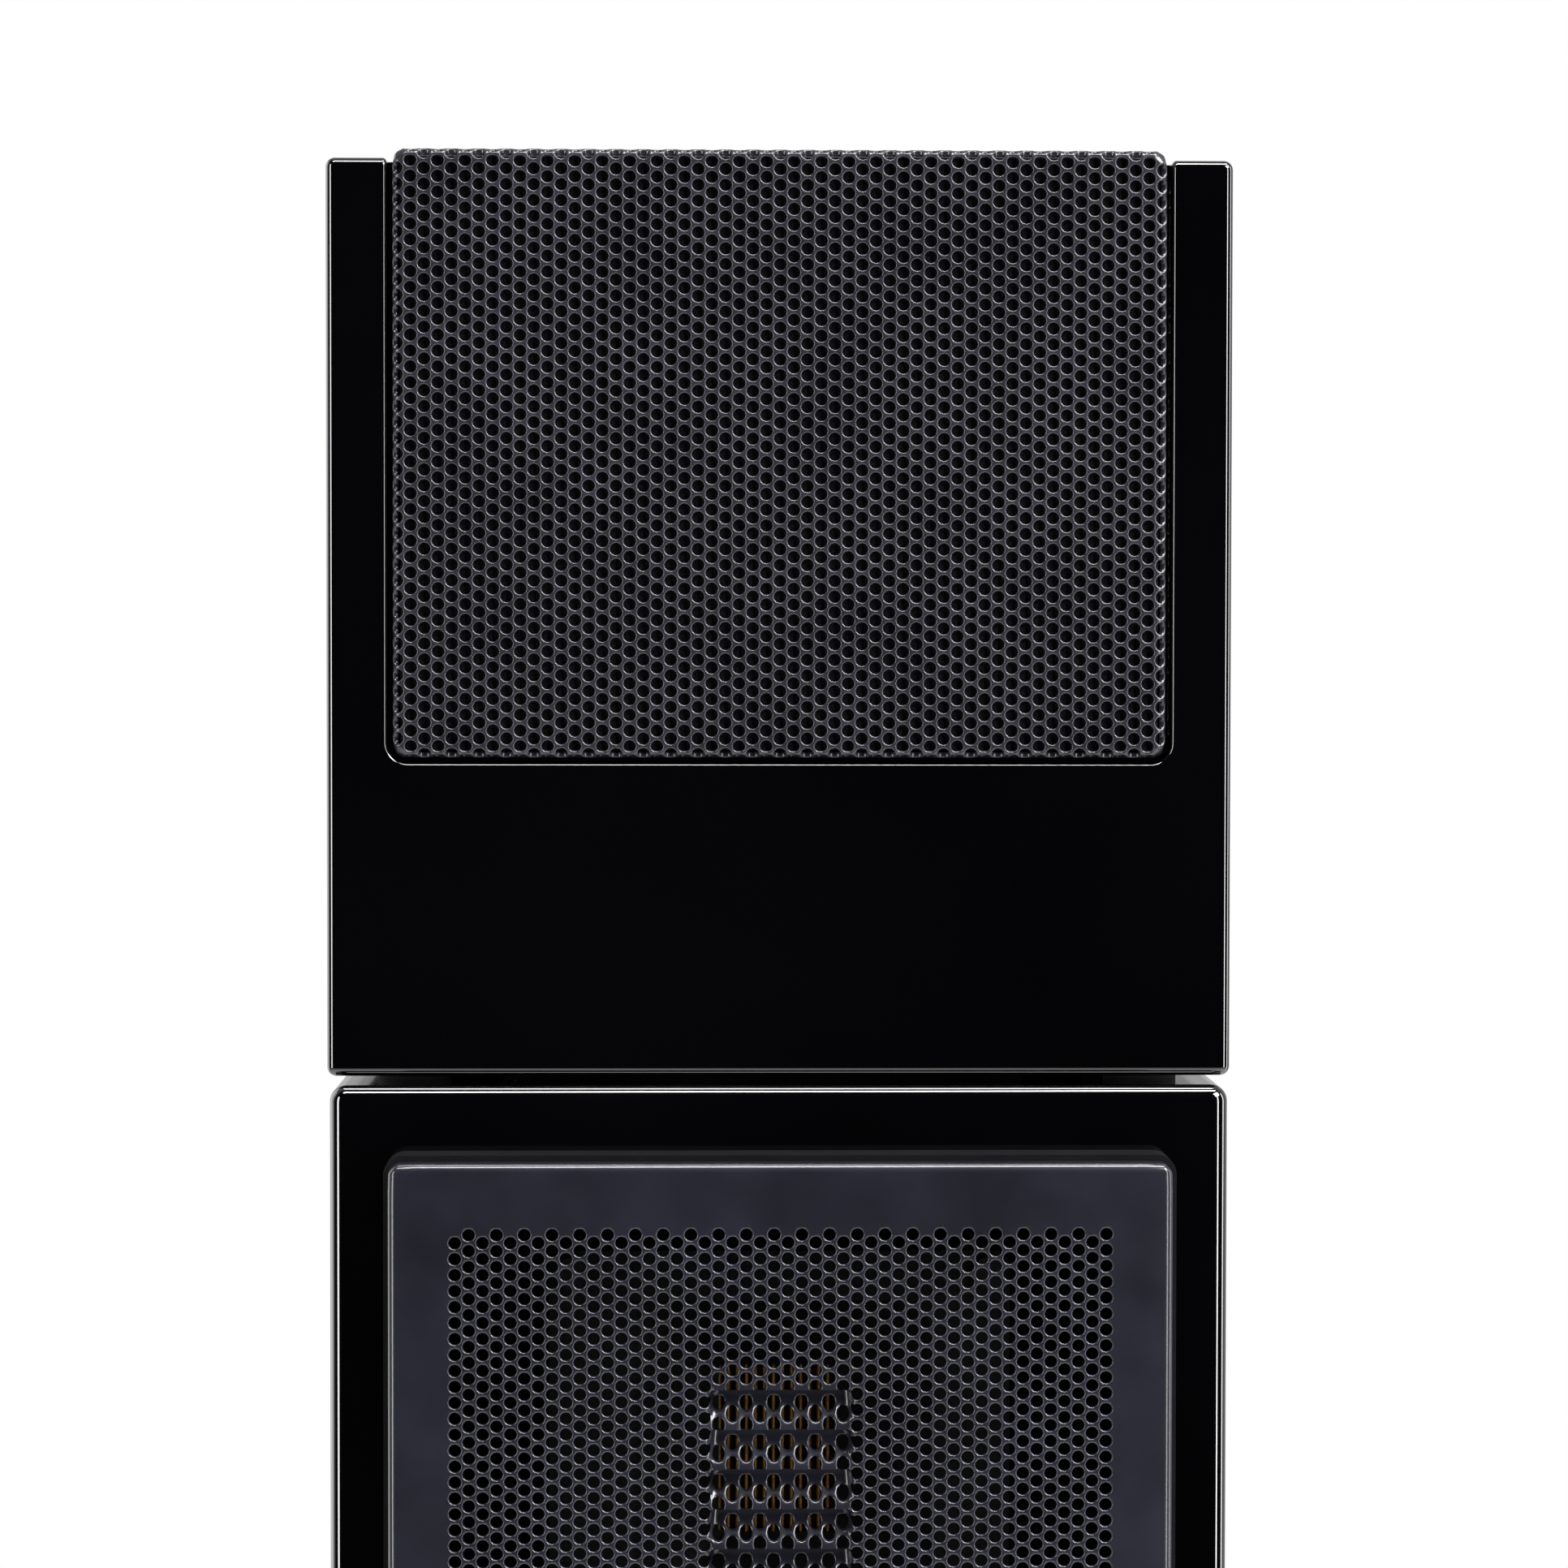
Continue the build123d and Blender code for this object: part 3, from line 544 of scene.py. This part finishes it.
# The louvres: a short steep lip into the sheet, then a long ramp back out to its face
LOUVRES = 6
LOUVRE_PITCH = 2.5 * PITCH
LOUVRE_START = 48.2 * MM
LOUVRE_HALF = 14.2 * MM
LOUVRE_FADE = 1.4 * MM
LOUVRE_DEPTH = 3.4 * MM
LIP_HEIGHT = 1.8 * MM
LIP_LENGTH = 3.3 * MM
LIP_SHARE = 0.35
RAMP_SAG = 1.5

# Where the mesh has points across each lip, as shares of its length, and over the plain parts of a blank
LIP_ROWS = (0.01, 0.13, 0.24, 0.36, 0.67, 0.98)
LIP_STEPS = 37
FILL_STEP = 4 * MM
HOLE_CLEARANCE = 2 * MM

# Places are compared in whole ticks, so that points that meet are one point
TICK = 1e-7
TICKS_PER_METRE = 1e7

# Margins in metres, for a place a hair inside the blank's rim and for rounding, and the fill's in millimetres
HAIR = 1e-6
ROUNDING = 1e-9
FILL_TOLERANCE = 1e-5

TRIANGLES_PER_HOLE = 8 * SIDES
MOST_TRIANGLES = 150_000


def smoothstep(t):
    """An even rise from 0 to 1 that starts and ends level."""
    t = np.clip(t, 0, 1)
    return t * t * (3 - 2 * t)


class Pan:
    """A pressed pan in a CAD node's box: a flat blank, folded back on all four sides, that may have louvres.

    A place on the blank is u to the right and v up from its middle.
    """

    def __init__(self, node, louvred=False):
        low, high = (Vector(corner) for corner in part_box(node))
        self.centre = Vector(((low.x + high.x) / 2, low.y, (low.z + high.z) / 2))
        self.half = ((high.x - low.x) / 2, (high.z - low.z) / 2)
        self.depth = high.y - low.y
        self.wall = self.depth - ROLL
        self.arc = ROLL * pi / 2
        self.flat = tuple(half - ROLL for half in self.half)
        self.edge = tuple(flat + self.arc + self.wall for flat in self.flat)
        self.louvred = louvred

    def inside(self, u, v, margin=0.0):
        """True if a place lies in the cross that the pan is folded from."""
        across = abs(u) - self.flat[0] - self.arc
        along = abs(v) - self.flat[1] - self.arc
        within_walls = max(across, along) <= self.wall - margin
        return within_walls and min(across, along) <= ROUNDING - margin

    def bend(self, w, side, inset):
        """Distance from the middle, drop, and share of the wall, for one direction of the blank."""
        over = np.abs(w) - self.flat[side]
        angle = np.clip(over / ROLL, 0, pi / 2)
        reach = np.minimum(np.abs(w), self.flat[side]) + (ROLL - inset) * np.sin(angle)
        drop = (ROLL - inset) * (1 - np.cos(angle))
        share = np.clip((over - self.arc) / self.wall, 0, 1)
        return reach, drop, share

    def press(self, u, v):
        """How the louvres move a place on the blank: the new v, and the drop into the sheet."""
        down = self.half[1] - LOUVRE_START - v
        phase = np.mod(down, LOUVRE_PITCH)
        lip = phase / LIP_LENGTH
        ramp = (phase - LIP_LENGTH) / (LOUVRE_PITCH - LIP_LENGTH)
        on_lip = phase < LIP_LENGTH
        landed = np.where(on_lip, lip * LIP_HEIGHT, LIP_HEIGHT + ramp * (LOUVRE_PITCH - LIP_HEIGHT))
        ramped = 1 - np.sin(np.clip(ramp, 0, 1) ** RAMP_SAG * pi / 2)
        sunk = np.where(on_lip, smoothstep(lip / LIP_SHARE), ramped)
        in_field = (down > 0) & (down < LOUVRES * LOUVRE_PITCH)
        share = smoothstep((LOUVRE_HALF + LOUVRE_FADE - np.abs(u)) / LOUVRE_FADE) * in_field
        return v - (landed - phase) * share, LOUVRE_DEPTH * sunk * share

    def lip_points(self):
        """Places across each louvre's lip, close enough together to hold its shape."""
        if not self.louvred:
            return []
        reach = LOUVRE_HALF + LOUVRE_FADE
        points = []
        for louvre in range(LOUVRES):
            top = self.half[1] - LOUVRE_START - louvre * LOUVRE_PITCH
            for row in LIP_ROWS:
                v = top - row * LIP_LENGTH
                points += [(reach * (2 * k / LIP_STEPS - 1), v) for k in range(LIP_STEPS + 1)]
        return points

    def fold(self, blank):
        """Where the points of the blank, each a (u, v, inset into the sheet), are in the folded pan."""
        u, v, inset = blank.T
        pressed = np.zeros_like(u)
        if self.louvred:
            v, pressed = self.press(u, v)
        x, drop_x, share_x = self.bend(u, 0, inset)
        y, drop_y, share_y = self.bend(v, 1, inset)
        radius = CORNER - inset
        dx = np.clip((x - self.half[0] + CORNER) / radius, 0, 1)
        dy = np.clip((y - self.half[1] + CORNER) / radius, 0, 1)
        x -= radius * dx * (1 - np.sqrt(1 - dy * dy / 2))
        y -= radius * dy * (1 - np.sqrt(1 - dx * dx / 2))
        drop = inset + drop_x + drop_y
        share = np.maximum(share_x, share_y)
        drop = drop + share * (self.depth - drop) + pressed
        return np.stack((x * np.sign(u), drop, y * np.sign(v)), axis=1) + np.array(tuple(self.centre))


def ticks(*place):
    """A place in whole ticks."""
    return tuple(round(c * TICKS_PER_METRE) for c in place)


class Points:
    """Numbered places, each held once."""

    def __init__(self):
        self.places = []
        self.numbers = {}

    def number(self, *place):
        """The number of a place, which is added if it's new."""
        key = ticks(*place)
        if key not in self.numbers:
            self.numbers[key] = len(self.places)
            self.places.append(place)
        return self.numbers[key]


def around(u, v, radius_at):
    """Twelve points round a hole's centre, each at its own distance."""
    points = []
    for k in range(SIDES):
        angle = tau * k / SIDES
        radius = radius_at(k)
        points.append((u + radius * cos(angle), v + radius * sin(angle)))
    return points


def cell_radius(k):
    """Distance to a hexagonal cell's corner or edge middle."""
    return PITCH / 2 if k % 2 else PITCH / sqrt(3)


class Sheet:
    """The points and faces of a sheet's two skins, as (u, v, inset) in the blank."""

    def __init__(self):
        self.points = Points()
        self.faces = []

    def ring(self, outline, inset):
        """The numbers of an outline's points at one depth."""
        return [self.points.number(u, v, inset) for u, v in outline]

    def band(self, outer, inner):
        """Quads between two rings of the same count."""
        for k in range(len(outer)):
            j = (k + 1) % len(outer)
            self.faces.append((outer[k], outer[j], inner[j], inner[k]))

    def add_hole(self, u, v):
        """One cell: the web round a hole, its rounded rim, its wall and the web behind."""
        cell = around(u, v, cell_radius)
        wide = around(u, v, lambda k: RIM)
        narrow = around(u, v, lambda k: HOLE)
        rings = [
            self.ring(cell, 0),
            self.ring(wide, 0),
            self.ring(narrow, RIM_DROP),
            self.ring(narrow, SHEET),
            self.ring(cell, SHEET),
        ]
        for outer, inner in zip(rings, rings[1:]):
            self.band(outer, inner)
        return cell

    def close_rim(self):
        """Join the two skins along the blank's outer edge."""
        places = self.points.places
        uses = {}
        for face in self.faces:
            for k, corner in enumerate(face):
                other = face[(k + 1) % len(face)]
                if places[corner][2] == 0 and places[other][2] == 0:
                    side = frozenset((corner, other))
                    uses[side] = uses.get(side, 0) + 1
        for side, count in uses.items():
            if count == 1:
                a, b = side
                back_a, back_b = self.ring([places[a][:2], places[b][:2]], SHEET)
                self.faces.append((a, b, back_b, back_a))


def outer_sides(cells):
    """The sides of the perforated cells that no two cells share, each a pair of places."""
    uses = {}
    for cell in cells:
        corners = [ticks(u, v) for u, v in cell]
        for k, here in enumerate(corners):
            there = corners[(k + 1) % SIDES]
            side = (min(here, there), max(here, there))
            uses[side] = uses.get(side, 0) + 1
    once = [side for side, count in uses.items() if count == 1]
    return [[(u * TICK, v * TICK) for u, v in side] for side in once]


def fill_lines(flat, arc, edge):
    """Lines across a blank: evenly over the flat, closely round the bends, and down the walls."""
    count = max(2, round(2 * flat / FILL_STEP))
    lines = [flat * (2 * k / count - 1) for k in range(count + 1)]
    for side in (-1, 1):
        lines += [side * (flat + arc * k / BEND_STEPS) for k in range(1, BEND_STEPS + 1)]
        wall = edge - flat - arc
        lines += [side * (flat + arc + wall * k / WALL_STEPS) for k in range(1, WALL_STEPS + 1)]
    return sorted(lines)


def fill_points(pan, holes):
    """Points that carry the plain parts of a blank: its rim, a grid clear of the holes, and the lips."""
    taken = {(round(u / HOLE_CLEARANCE), round(v / HOLE_CLEARANCE)) for u, v in holes}
    points = []
    for u in fill_lines(pan.flat[0], pan.arc, pan.edge[0]):
        for v in fill_lines(pan.flat[1], pan.arc, pan.edge[1]):
            if not pan.inside(u, v):
                continue
            i, j = round(u / HOLE_CLEARANCE), round(v / HOLE_CLEARANCE)
            near_hole = any((i + a, j + b) in taken for a in (-1, 0, 1) for b in (-1, 0, 1))
            on_rim = not pan.inside(u, v, HAIR)
            if on_rim or not near_hole:
                points.append((u, v))
    return points + pan.lip_points()


def fill_blank(sheet, pan, cells, holes):
    """Fill the blank outside the perforated cells with triangles, on both skins."""
    blank = Points()
    edges = [tuple(blank.number(*corner) for corner in side) for side in outer_sides(cells)]
    for u, v in fill_points(pan, holes):
        blank.number(u, v)
    scaled = [Vector((u * MM_PER_METRE, v * MM_PER_METRE)) for u, v in blank.places]
    found, _, triangles, *_ = delaunay_2d_cdt(scaled, edges, [], 0, FILL_TOLERANCE)
    centres = {ticks(u, v) for u, v in holes}
    for triangle in triangles:
        corners = [found[c] / MM_PER_METRE for c in triangle]
        u = sum(p.x for p in corners) / 3
        v = sum(p.y for p in corners) / 3
        if not pan.inside(u, v, HAIR) or in_cell(u, v, centres, holes[0]):
            continue
        outline = [(p.x, p.y) for p in corners]
        sheet.faces.append(tuple(sheet.ring(outline, 0)))
        sheet.faces.append(tuple(reversed(sheet.ring(outline, SHEET))))


def in_cell(u, v, centres, first):
    """True if a place is inside one of the perforated cells, whose lattice starts at the first hole."""
    column = round((u - first[0]) / COLUMN)
    for c in (column - 1, column, column + 1):
        shift = (c % 2) * PITCH / 2
        row = round((v - first[1] - shift) / PITCH)
        for r in (row - 1, row, row + 1):
            centre_u = first[0] + c * COLUMN
            centre_v = first[1] + shift + r * PITCH
            if ticks(centre_u, centre_v) in centres and in_hexagon(u - centre_u, v - centre_v):
                return True
    return False


def in_hexagon(u, v):
    """True inside a cell's hexagon, whose flat sides face up and down."""
    return max(abs(v), abs(u) * sqrt(3) / 2 + abs(v) / 2) < PITCH / 2


def perforate(pan, holes, node, slot):
    """Put a perforated sheet in place of a CAD grille, split along its height into pieces of a fair size."""
    sheet = Sheet()
    cells = [sheet.add_hole(u, v) for u, v in holes]
    fill_blank(sheet, pan, cells, holes)
    sheet.close_rim()
    blank = np.array(sheet.points.places)
    places = pan.fold(blank)
    middles = np.array([blank[list(face), 1].mean() for face in sheet.faces])
    order = np.argsort(middles)
    pieces = 1 + len(holes) * TRIANGLES_PER_HOLE // MOST_TRIANGLES
    for k in range(pieces):
        share = order[len(order) * k // pieces : len(order) * (k + 1) // pieces]
        chosen = [sheet.faces[i] for i in share]
        used, renumbered = np.unique(np.concatenate(chosen), return_inverse=True)
        numbers = iter(renumbered.tolist())
        faces = [[next(numbers) for _ in face] for face in chosen]
        piece = mesh_object(f"{node}_sheet_{k + 1}", places[used], faces, sharp=radians(60))
        outward_normals(piece)
        finish_piece(piece, slot, node, body=node)


def on_louvre_lip(pan, u, v):
    """True where a hole would fall on the lip of a louvre, which is left solid."""
    down = pan.half[1] - LOUVRE_START - v
    in_field = abs(u) < LOUVRE_HALF and 0 < down < LOUVRES * LOUVRE_PITCH
    return in_field and down % LOUVRE_PITCH < LIP_LENGTH


def make_tower_grille():
    """The tower's grille: a solid border round the field, and louvres before the tweeter."""
    pan = Pan("tower_grille", louvred=True)
    first = -COLUMN * (TOWER_COLUMNS - 1) / 2
    top = pan.half[1] - TOWER_BORDER
    rows = round(2 * top / PITCH - 0.5)
    holes = []
    for c in range(TOWER_COLUMNS):
        low = c % 2 == 0
        for r in range(rows if low else rows + 1):
            u, v = first + c * COLUMN, top - (PITCH / 2 if low else 0) - r * PITCH
            if not on_louvre_lip(pan, u, v):
                holes.append((u, v))
    perforate(pan, holes, "tower_grille", "grille_steel")


def fits_blank(pan, u, v):
    """True where a hole's cell lies in the blank, and not on the bends of two sides at once."""
    corners = [(u + a * PITCH / 2, v + b * PITCH / 2) for a in (-1, 1) for b in (-1, 1)]
    both_bent = abs(u) > pan.flat[0] - HOLE and abs(v) > pan.flat[1] - HOLE
    return all(pan.inside(*corner, EDGE_WEB) for corner in corners) and not both_bent


def make_module_grille():
    """The module's grille: its holes run on round the bends of all four sides."""
    pan = Pan("module_grille")
    first = -COLUMN * (MODULE_COLUMNS - 1) / 2
    top = pan.flat[1] + ROLL * TOP_ROW_ANGLE
    holes = []
    for c in range(-ROUND_THE_BEND, MODULE_COLUMNS + ROUND_THE_BEND):
        shift = (c % 2) * PITCH / 2
        for r in range(-ROUND_THE_BEND, MODULE_ROWS):
            u, v = first + c * COLUMN, top - shift - r * PITCH
            if fits_blank(pan, u, v):
                holes.append((u, v))
    perforate(pan, holes, "module_grille", "module_steel")


# --- Tweeter film ---------------------------------------------------------------------------------------

PLEATS = 13
PLEAT_STEPS = 12
PLEAT_ROUNDING = 0.6
FILM_THICKNESS = 0.08 * MM


def make_film_piece():
    """The pleated film: deep rounded folds, with its two skins joined along all four edges."""
    low, high = (Vector(corner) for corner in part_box("tweeter_diaphragm"))
    depth = high.y - low.y - 2 * FILM_THICKNESS
    count = PLEATS * PLEAT_STEPS
    points, faces = [], []
    for k in range(count + 1):
        wave = 0.5 + 0.5 * cos(tau * k / PLEAT_STEPS)
        rounded = float(smoothstep(wave) * PLEAT_ROUNDING + wave * (1 - PLEAT_ROUNDING))
        x = low.x + (high.x - low.x) * k / count
        y = low.y + FILM_THICKNESS + depth * (1 - rounded)
        for skin in (y, y + FILM_THICKNESS):
            points += [(x, skin, low.z), (x, skin, high.z)]
    for k in range(count):
        a, b = 4 * k, 4 * (k + 1)
        faces += [(a, b, b + 1, a + 1), (a + 2, a + 3, b + 3, b + 2)]
        faces += [(a, a + 2, b + 2, b), (a + 1, b + 1, b + 3, a + 3)]
    last = 4 * count
    faces += [(0, 1, 3, 2), (last, last + 2, last + 3, last + 1)]
    piece = mesh_object("tweeter_film", points, faces, sharp=radians(70))
    outward_normals(piece)
    finish_piece(piece, "film", "tweeter_diaphragm", body="root")


# --- Round drivers --------------------------------------------------------------------------------------

# Sizes of a woofer, in millimetres from the middle of its seat. The module's driver is a smaller copy.
BASKET_WIDTH = 166
BASKET_DEPTH = 54

ROLL_MIDDLE = 62
ROLL_HALF = 6
ROLL_RISE = 5.9
ROLL_INNER_HALF = 5.1
ROLL_INNER_RISE = 5.0
ROLL_STEPS = 14
SURROUND_INNER = 51.8
SURROUND_OUTER = 72.2
SURROUND_SKIN = 0.9
SEAT_GAP = 0.05

SPIDER_INNER = 19.15
SPIDER_OUTER = 40.9
SPIDER_HEIGHT = -32.7
SPIDER_WAVES = 5
SPIDER_SWING = 0.95
SPIDER_CLOTH = 0.4
STEPS_PER_WAVE = 8

CAP_RADIUS = 23.3
CAP_TOP = -12.6
CAP_FALL = 6.4
CAP_STEPS = 10
CONE_RADIUS = 51
CONE_RISE = 18.8
CONE_STEPS = 24
CONE_RINGS = 5
RING_HEIGHT = 0.22
RINGS_FROM = 0.1
RINGS_TO = 0.95
CONE_SEGMENTS = 128
CONE_EDGE = ((56, -0.2), (56, -1.3), (51.5, -1.3))
CONE_NECK = ((20.5, -24.5), (19.15, -24.5), (19.15, -23), (20.6, -22.2))
CAP_BACK = ((14.5, -16.5), (7, -14.4), (0, -13.9))


def driver_seat(name):
    """The middle of a driver's seat, its outward axis, and the metres that a woofer's millimetre becomes."""
    axis = Vector(joint(f"{name}_stroke")["axis"]).normalized()
    low, high = (Vector(corner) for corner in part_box(f"{name}_basket"))
    size = (high.x - low.x) / (BASKET_WIDTH * MM)
    depth = BASKET_DEPTH * MM * size
    return (low + high) / 2 + axis * depth / 2, axis, size * MM


def suspend(piece):
    """Bake the piece's placement into its mesh and read out its points, which nothing then uses."""
    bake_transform(piece)
    points = np.empty(len(piece.data.vertices) * 3)
    piece.data.vertices.foreach_get("co", points)


def half_roll(half, rise):
    """Points over the surround's roll, from the cone's side to the frame's."""
    angles = [pi * k / ROLL_STEPS for k in range(1, ROLL_STEPS)]
    return [(ROLL_MIDDLE - half * cos(angle), SEAT_GAP + rise * sin(angle)) for angle in angles]


def make_surround(name):
    """A half roll of rubber with a flat lip at each side."""
    origin, axis, scale = driver_seat(name)
    cone_side, frame_side = ROLL_MIDDLE - ROLL_HALF, ROLL_MIDDLE + ROLL_HALF
    lip_top = SEAT_GAP + SURROUND_SKIN
    top = [(SURROUND_INNER, lip_top), (cone_side, lip_top)]
    top += half_roll(ROLL_HALF, ROLL_RISE)
    top += [(frame_side, lip_top), (SURROUND_OUTER, lip_top)]
    under = [(SURROUND_INNER, SEAT_GAP), (ROLL_MIDDLE - ROLL_INNER_HALF, SEAT_GAP)]
    under += half_roll(ROLL_INNER_HALF, ROLL_INNER_RISE)
    under += [(ROLL_MIDDLE + ROLL_INNER_HALF, SEAT_GAP), (SURROUND_OUTER, SEAT_GAP)]
    outline = [(radius * scale, height * scale) for radius, height in top + under[::-1]]
    piece = turned(f"{name}_roll", outline, origin, axis)
    finish_piece(piece, "rubber", f"{name}_surround")
    suspend(piece)


def make_spider(name):
    """A corrugated cloth disc between the frame's ledge and the coil."""
    origin, axis, scale = driver_seat(name)
    steps = SPIDER_WAVES * STEPS_PER_WAVE
    over = []
    for k in range(steps + 1):
        radius = SPIDER_INNER + (SPIDER_OUTER - SPIDER_INNER) * k / steps
        over.append((radius, SPIDER_HEIGHT - SPIDER_SWING * sin(tau * SPIDER_WAVES * k / steps)))
    under = [(radius, height - SPIDER_CLOTH) for radius, height in reversed(over)]
    outline = [(radius * scale, height * scale) for radius, height in over + under]
    piece = turned(f"{name}_spider_cloth", outline, origin, axis, sharp=radians(70))
    finish_piece(piece, "spider", f"{name}_spider")
    suspend(piece)


def make_cone_piece(name):
    """The cone with stiffening rings, and its dust cap."""
    origin, axis, scale = driver_seat(name)
    shares = [k / CAP_STEPS for k in range(CAP_STEPS + 1)]
    front = [(CAP_RADIUS * t, CAP_TOP - CAP_FALL * t**2) for t in shares]
    for k in range(1, CONE_STEPS + 1):
        t = k / CONE_STEPS
        ring = RING_HEIGHT * sin(tau * CONE_RINGS * t) * (RINGS_FROM < t < RINGS_TO)
        height = CAP_TOP - CAP_FALL + CONE_RISE * t + ring
        front.append((CAP_RADIUS + (CONE_RADIUS - CAP_RADIUS) * t, height))
    outline = [*front, *CONE_EDGE, *CONE_NECK, *CAP_BACK]
    points = [(radius * scale, height * scale) for radius, height in outline]
    piece = turned(f"{name}_diaphragm", points, origin, axis, segments=CONE_SEGMENTS)
    finish_piece(piece, "cone", f"{name}_cone", body=f"{name}_cone")


def make_drivers():
    """The moving parts and suspensions of the two woofers and the module's driver."""
    for name, parent in (("woofer_upper", "root"), ("woofer_lower", "root"), ("module_driver", "module")):
        make_surround(name)
        make_spider(name)
        make_cone_piece(name)


# --- Soft pieces ----------------------------------------------------------------------------------------

PAD_CUTS = 28
PAD_SQUARENESS = 8
WADDING_EDGE = 0.45
WADDING_FILL = 0.5
FOAM_EDGE = 0.9
FOAM_FILL = 1.0

# The tower's wadding is two pads, which leave this span of height free
WADDING_GAP = (755 * MM, 790 * MM)


def crowned_pad(name, low, high, thin, edge_share, fill, slot, node, body):
    """A pad in a box, crowned in the middle along its thin axis: 1 for front to back, 2 for up.

    At its edges it keeps edge_share of its thickness.
    """
    long = 3 - thin
    points, faces = [], []
    for side in (-1, 1):
        for i in range(PAD_CUTS + 1):
            for j in range(PAD_CUTS + 1):
                s, t = i / PAD_CUTS, j / PAD_CUTS
                edge = (1 - (2 * s - 1) ** PAD_SQUARENESS) * (1 - (2 * t - 1) ** PAD_SQUARENESS)
                swell = edge_share + (1 - edge_share) * sqrt(edge)
                point = Vector((low[0] + (high[0] - low[0]) * s, 0, 0))
                point[long] = low[long] + (high[long] - low[long]) * t
                point[thin] = (low[thin] + high[thin]) / 2 + side * (high[thin] - low[thin]) / 2 * swell
                points.append(point)
    row = PAD_CUTS + 1
    other = row * row
    for i in range(PAD_CUTS):
        for j in range(PAD_CUTS):
            a = i * row + j
            b = a + other
            faces.append((a, a + 1, a + row + 1, a + row))
            faces.append((b, b + row, b + row + 1, b + 1))
    rim = [i * row for i in range(PAD_CUTS)]
    rim += [PAD_CUTS * row + j for j in range(PAD_CUTS)]
    rim += [i * row + PAD_CUTS for i in range(PAD_CUTS, 0, -1)]
    rim += list(range(PAD_CUTS, 0, -1))
    for k, a in enumerate(rim):
        b = rim[(k + 1) % len(rim)]
        faces.append((a, b, b + other, a + other))
    piece = mesh_object(name, points, faces)
    outward_normals(piece)
    finish_piece(piece, slot, node, body)


def make_wadding_pad(name, box, thin, node, body):
    """One pad of wadding, thin at its edges."""
    crowned_pad(name, *box, thin, WADDING_EDGE, WADDING_FILL, "wadding", node, body)


def make_soft_pieces():
    """The wadding in both cabinets, and the foam behind the module's grille."""
    low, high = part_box("tower_wadding")
    for label, bottom, top in (("lower", low[2], WADDING_GAP[0]), ("upper", WADDING_GAP[1], high[2])):
        box = ((low[0], low[1], bottom), (high[0], high[1], top))
        make_wadding_pad(f"tower_wadding_{label}", box, 1, "tower_wadding", "root")
    make_wadding_pad("module_wadding_pad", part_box("module_wadding"), 2, "module_wadding", "module")
    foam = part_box("module_foam")
    crowned_pad(
        "module_foam_sheet", *foam, 1, FOAM_EDGE, FOAM_FILL, "foam", "module_foam", "module_grille"
    )


# --- Build it -------------------------------------------------------------------------------------------

paint_cad_nodes()
place_camera()
light_studio()
surround_with_room()
lay_floor()
make_tower_grille()
make_module_grille()
make_film_piece()
make_drivers()
make_soft_pieces()
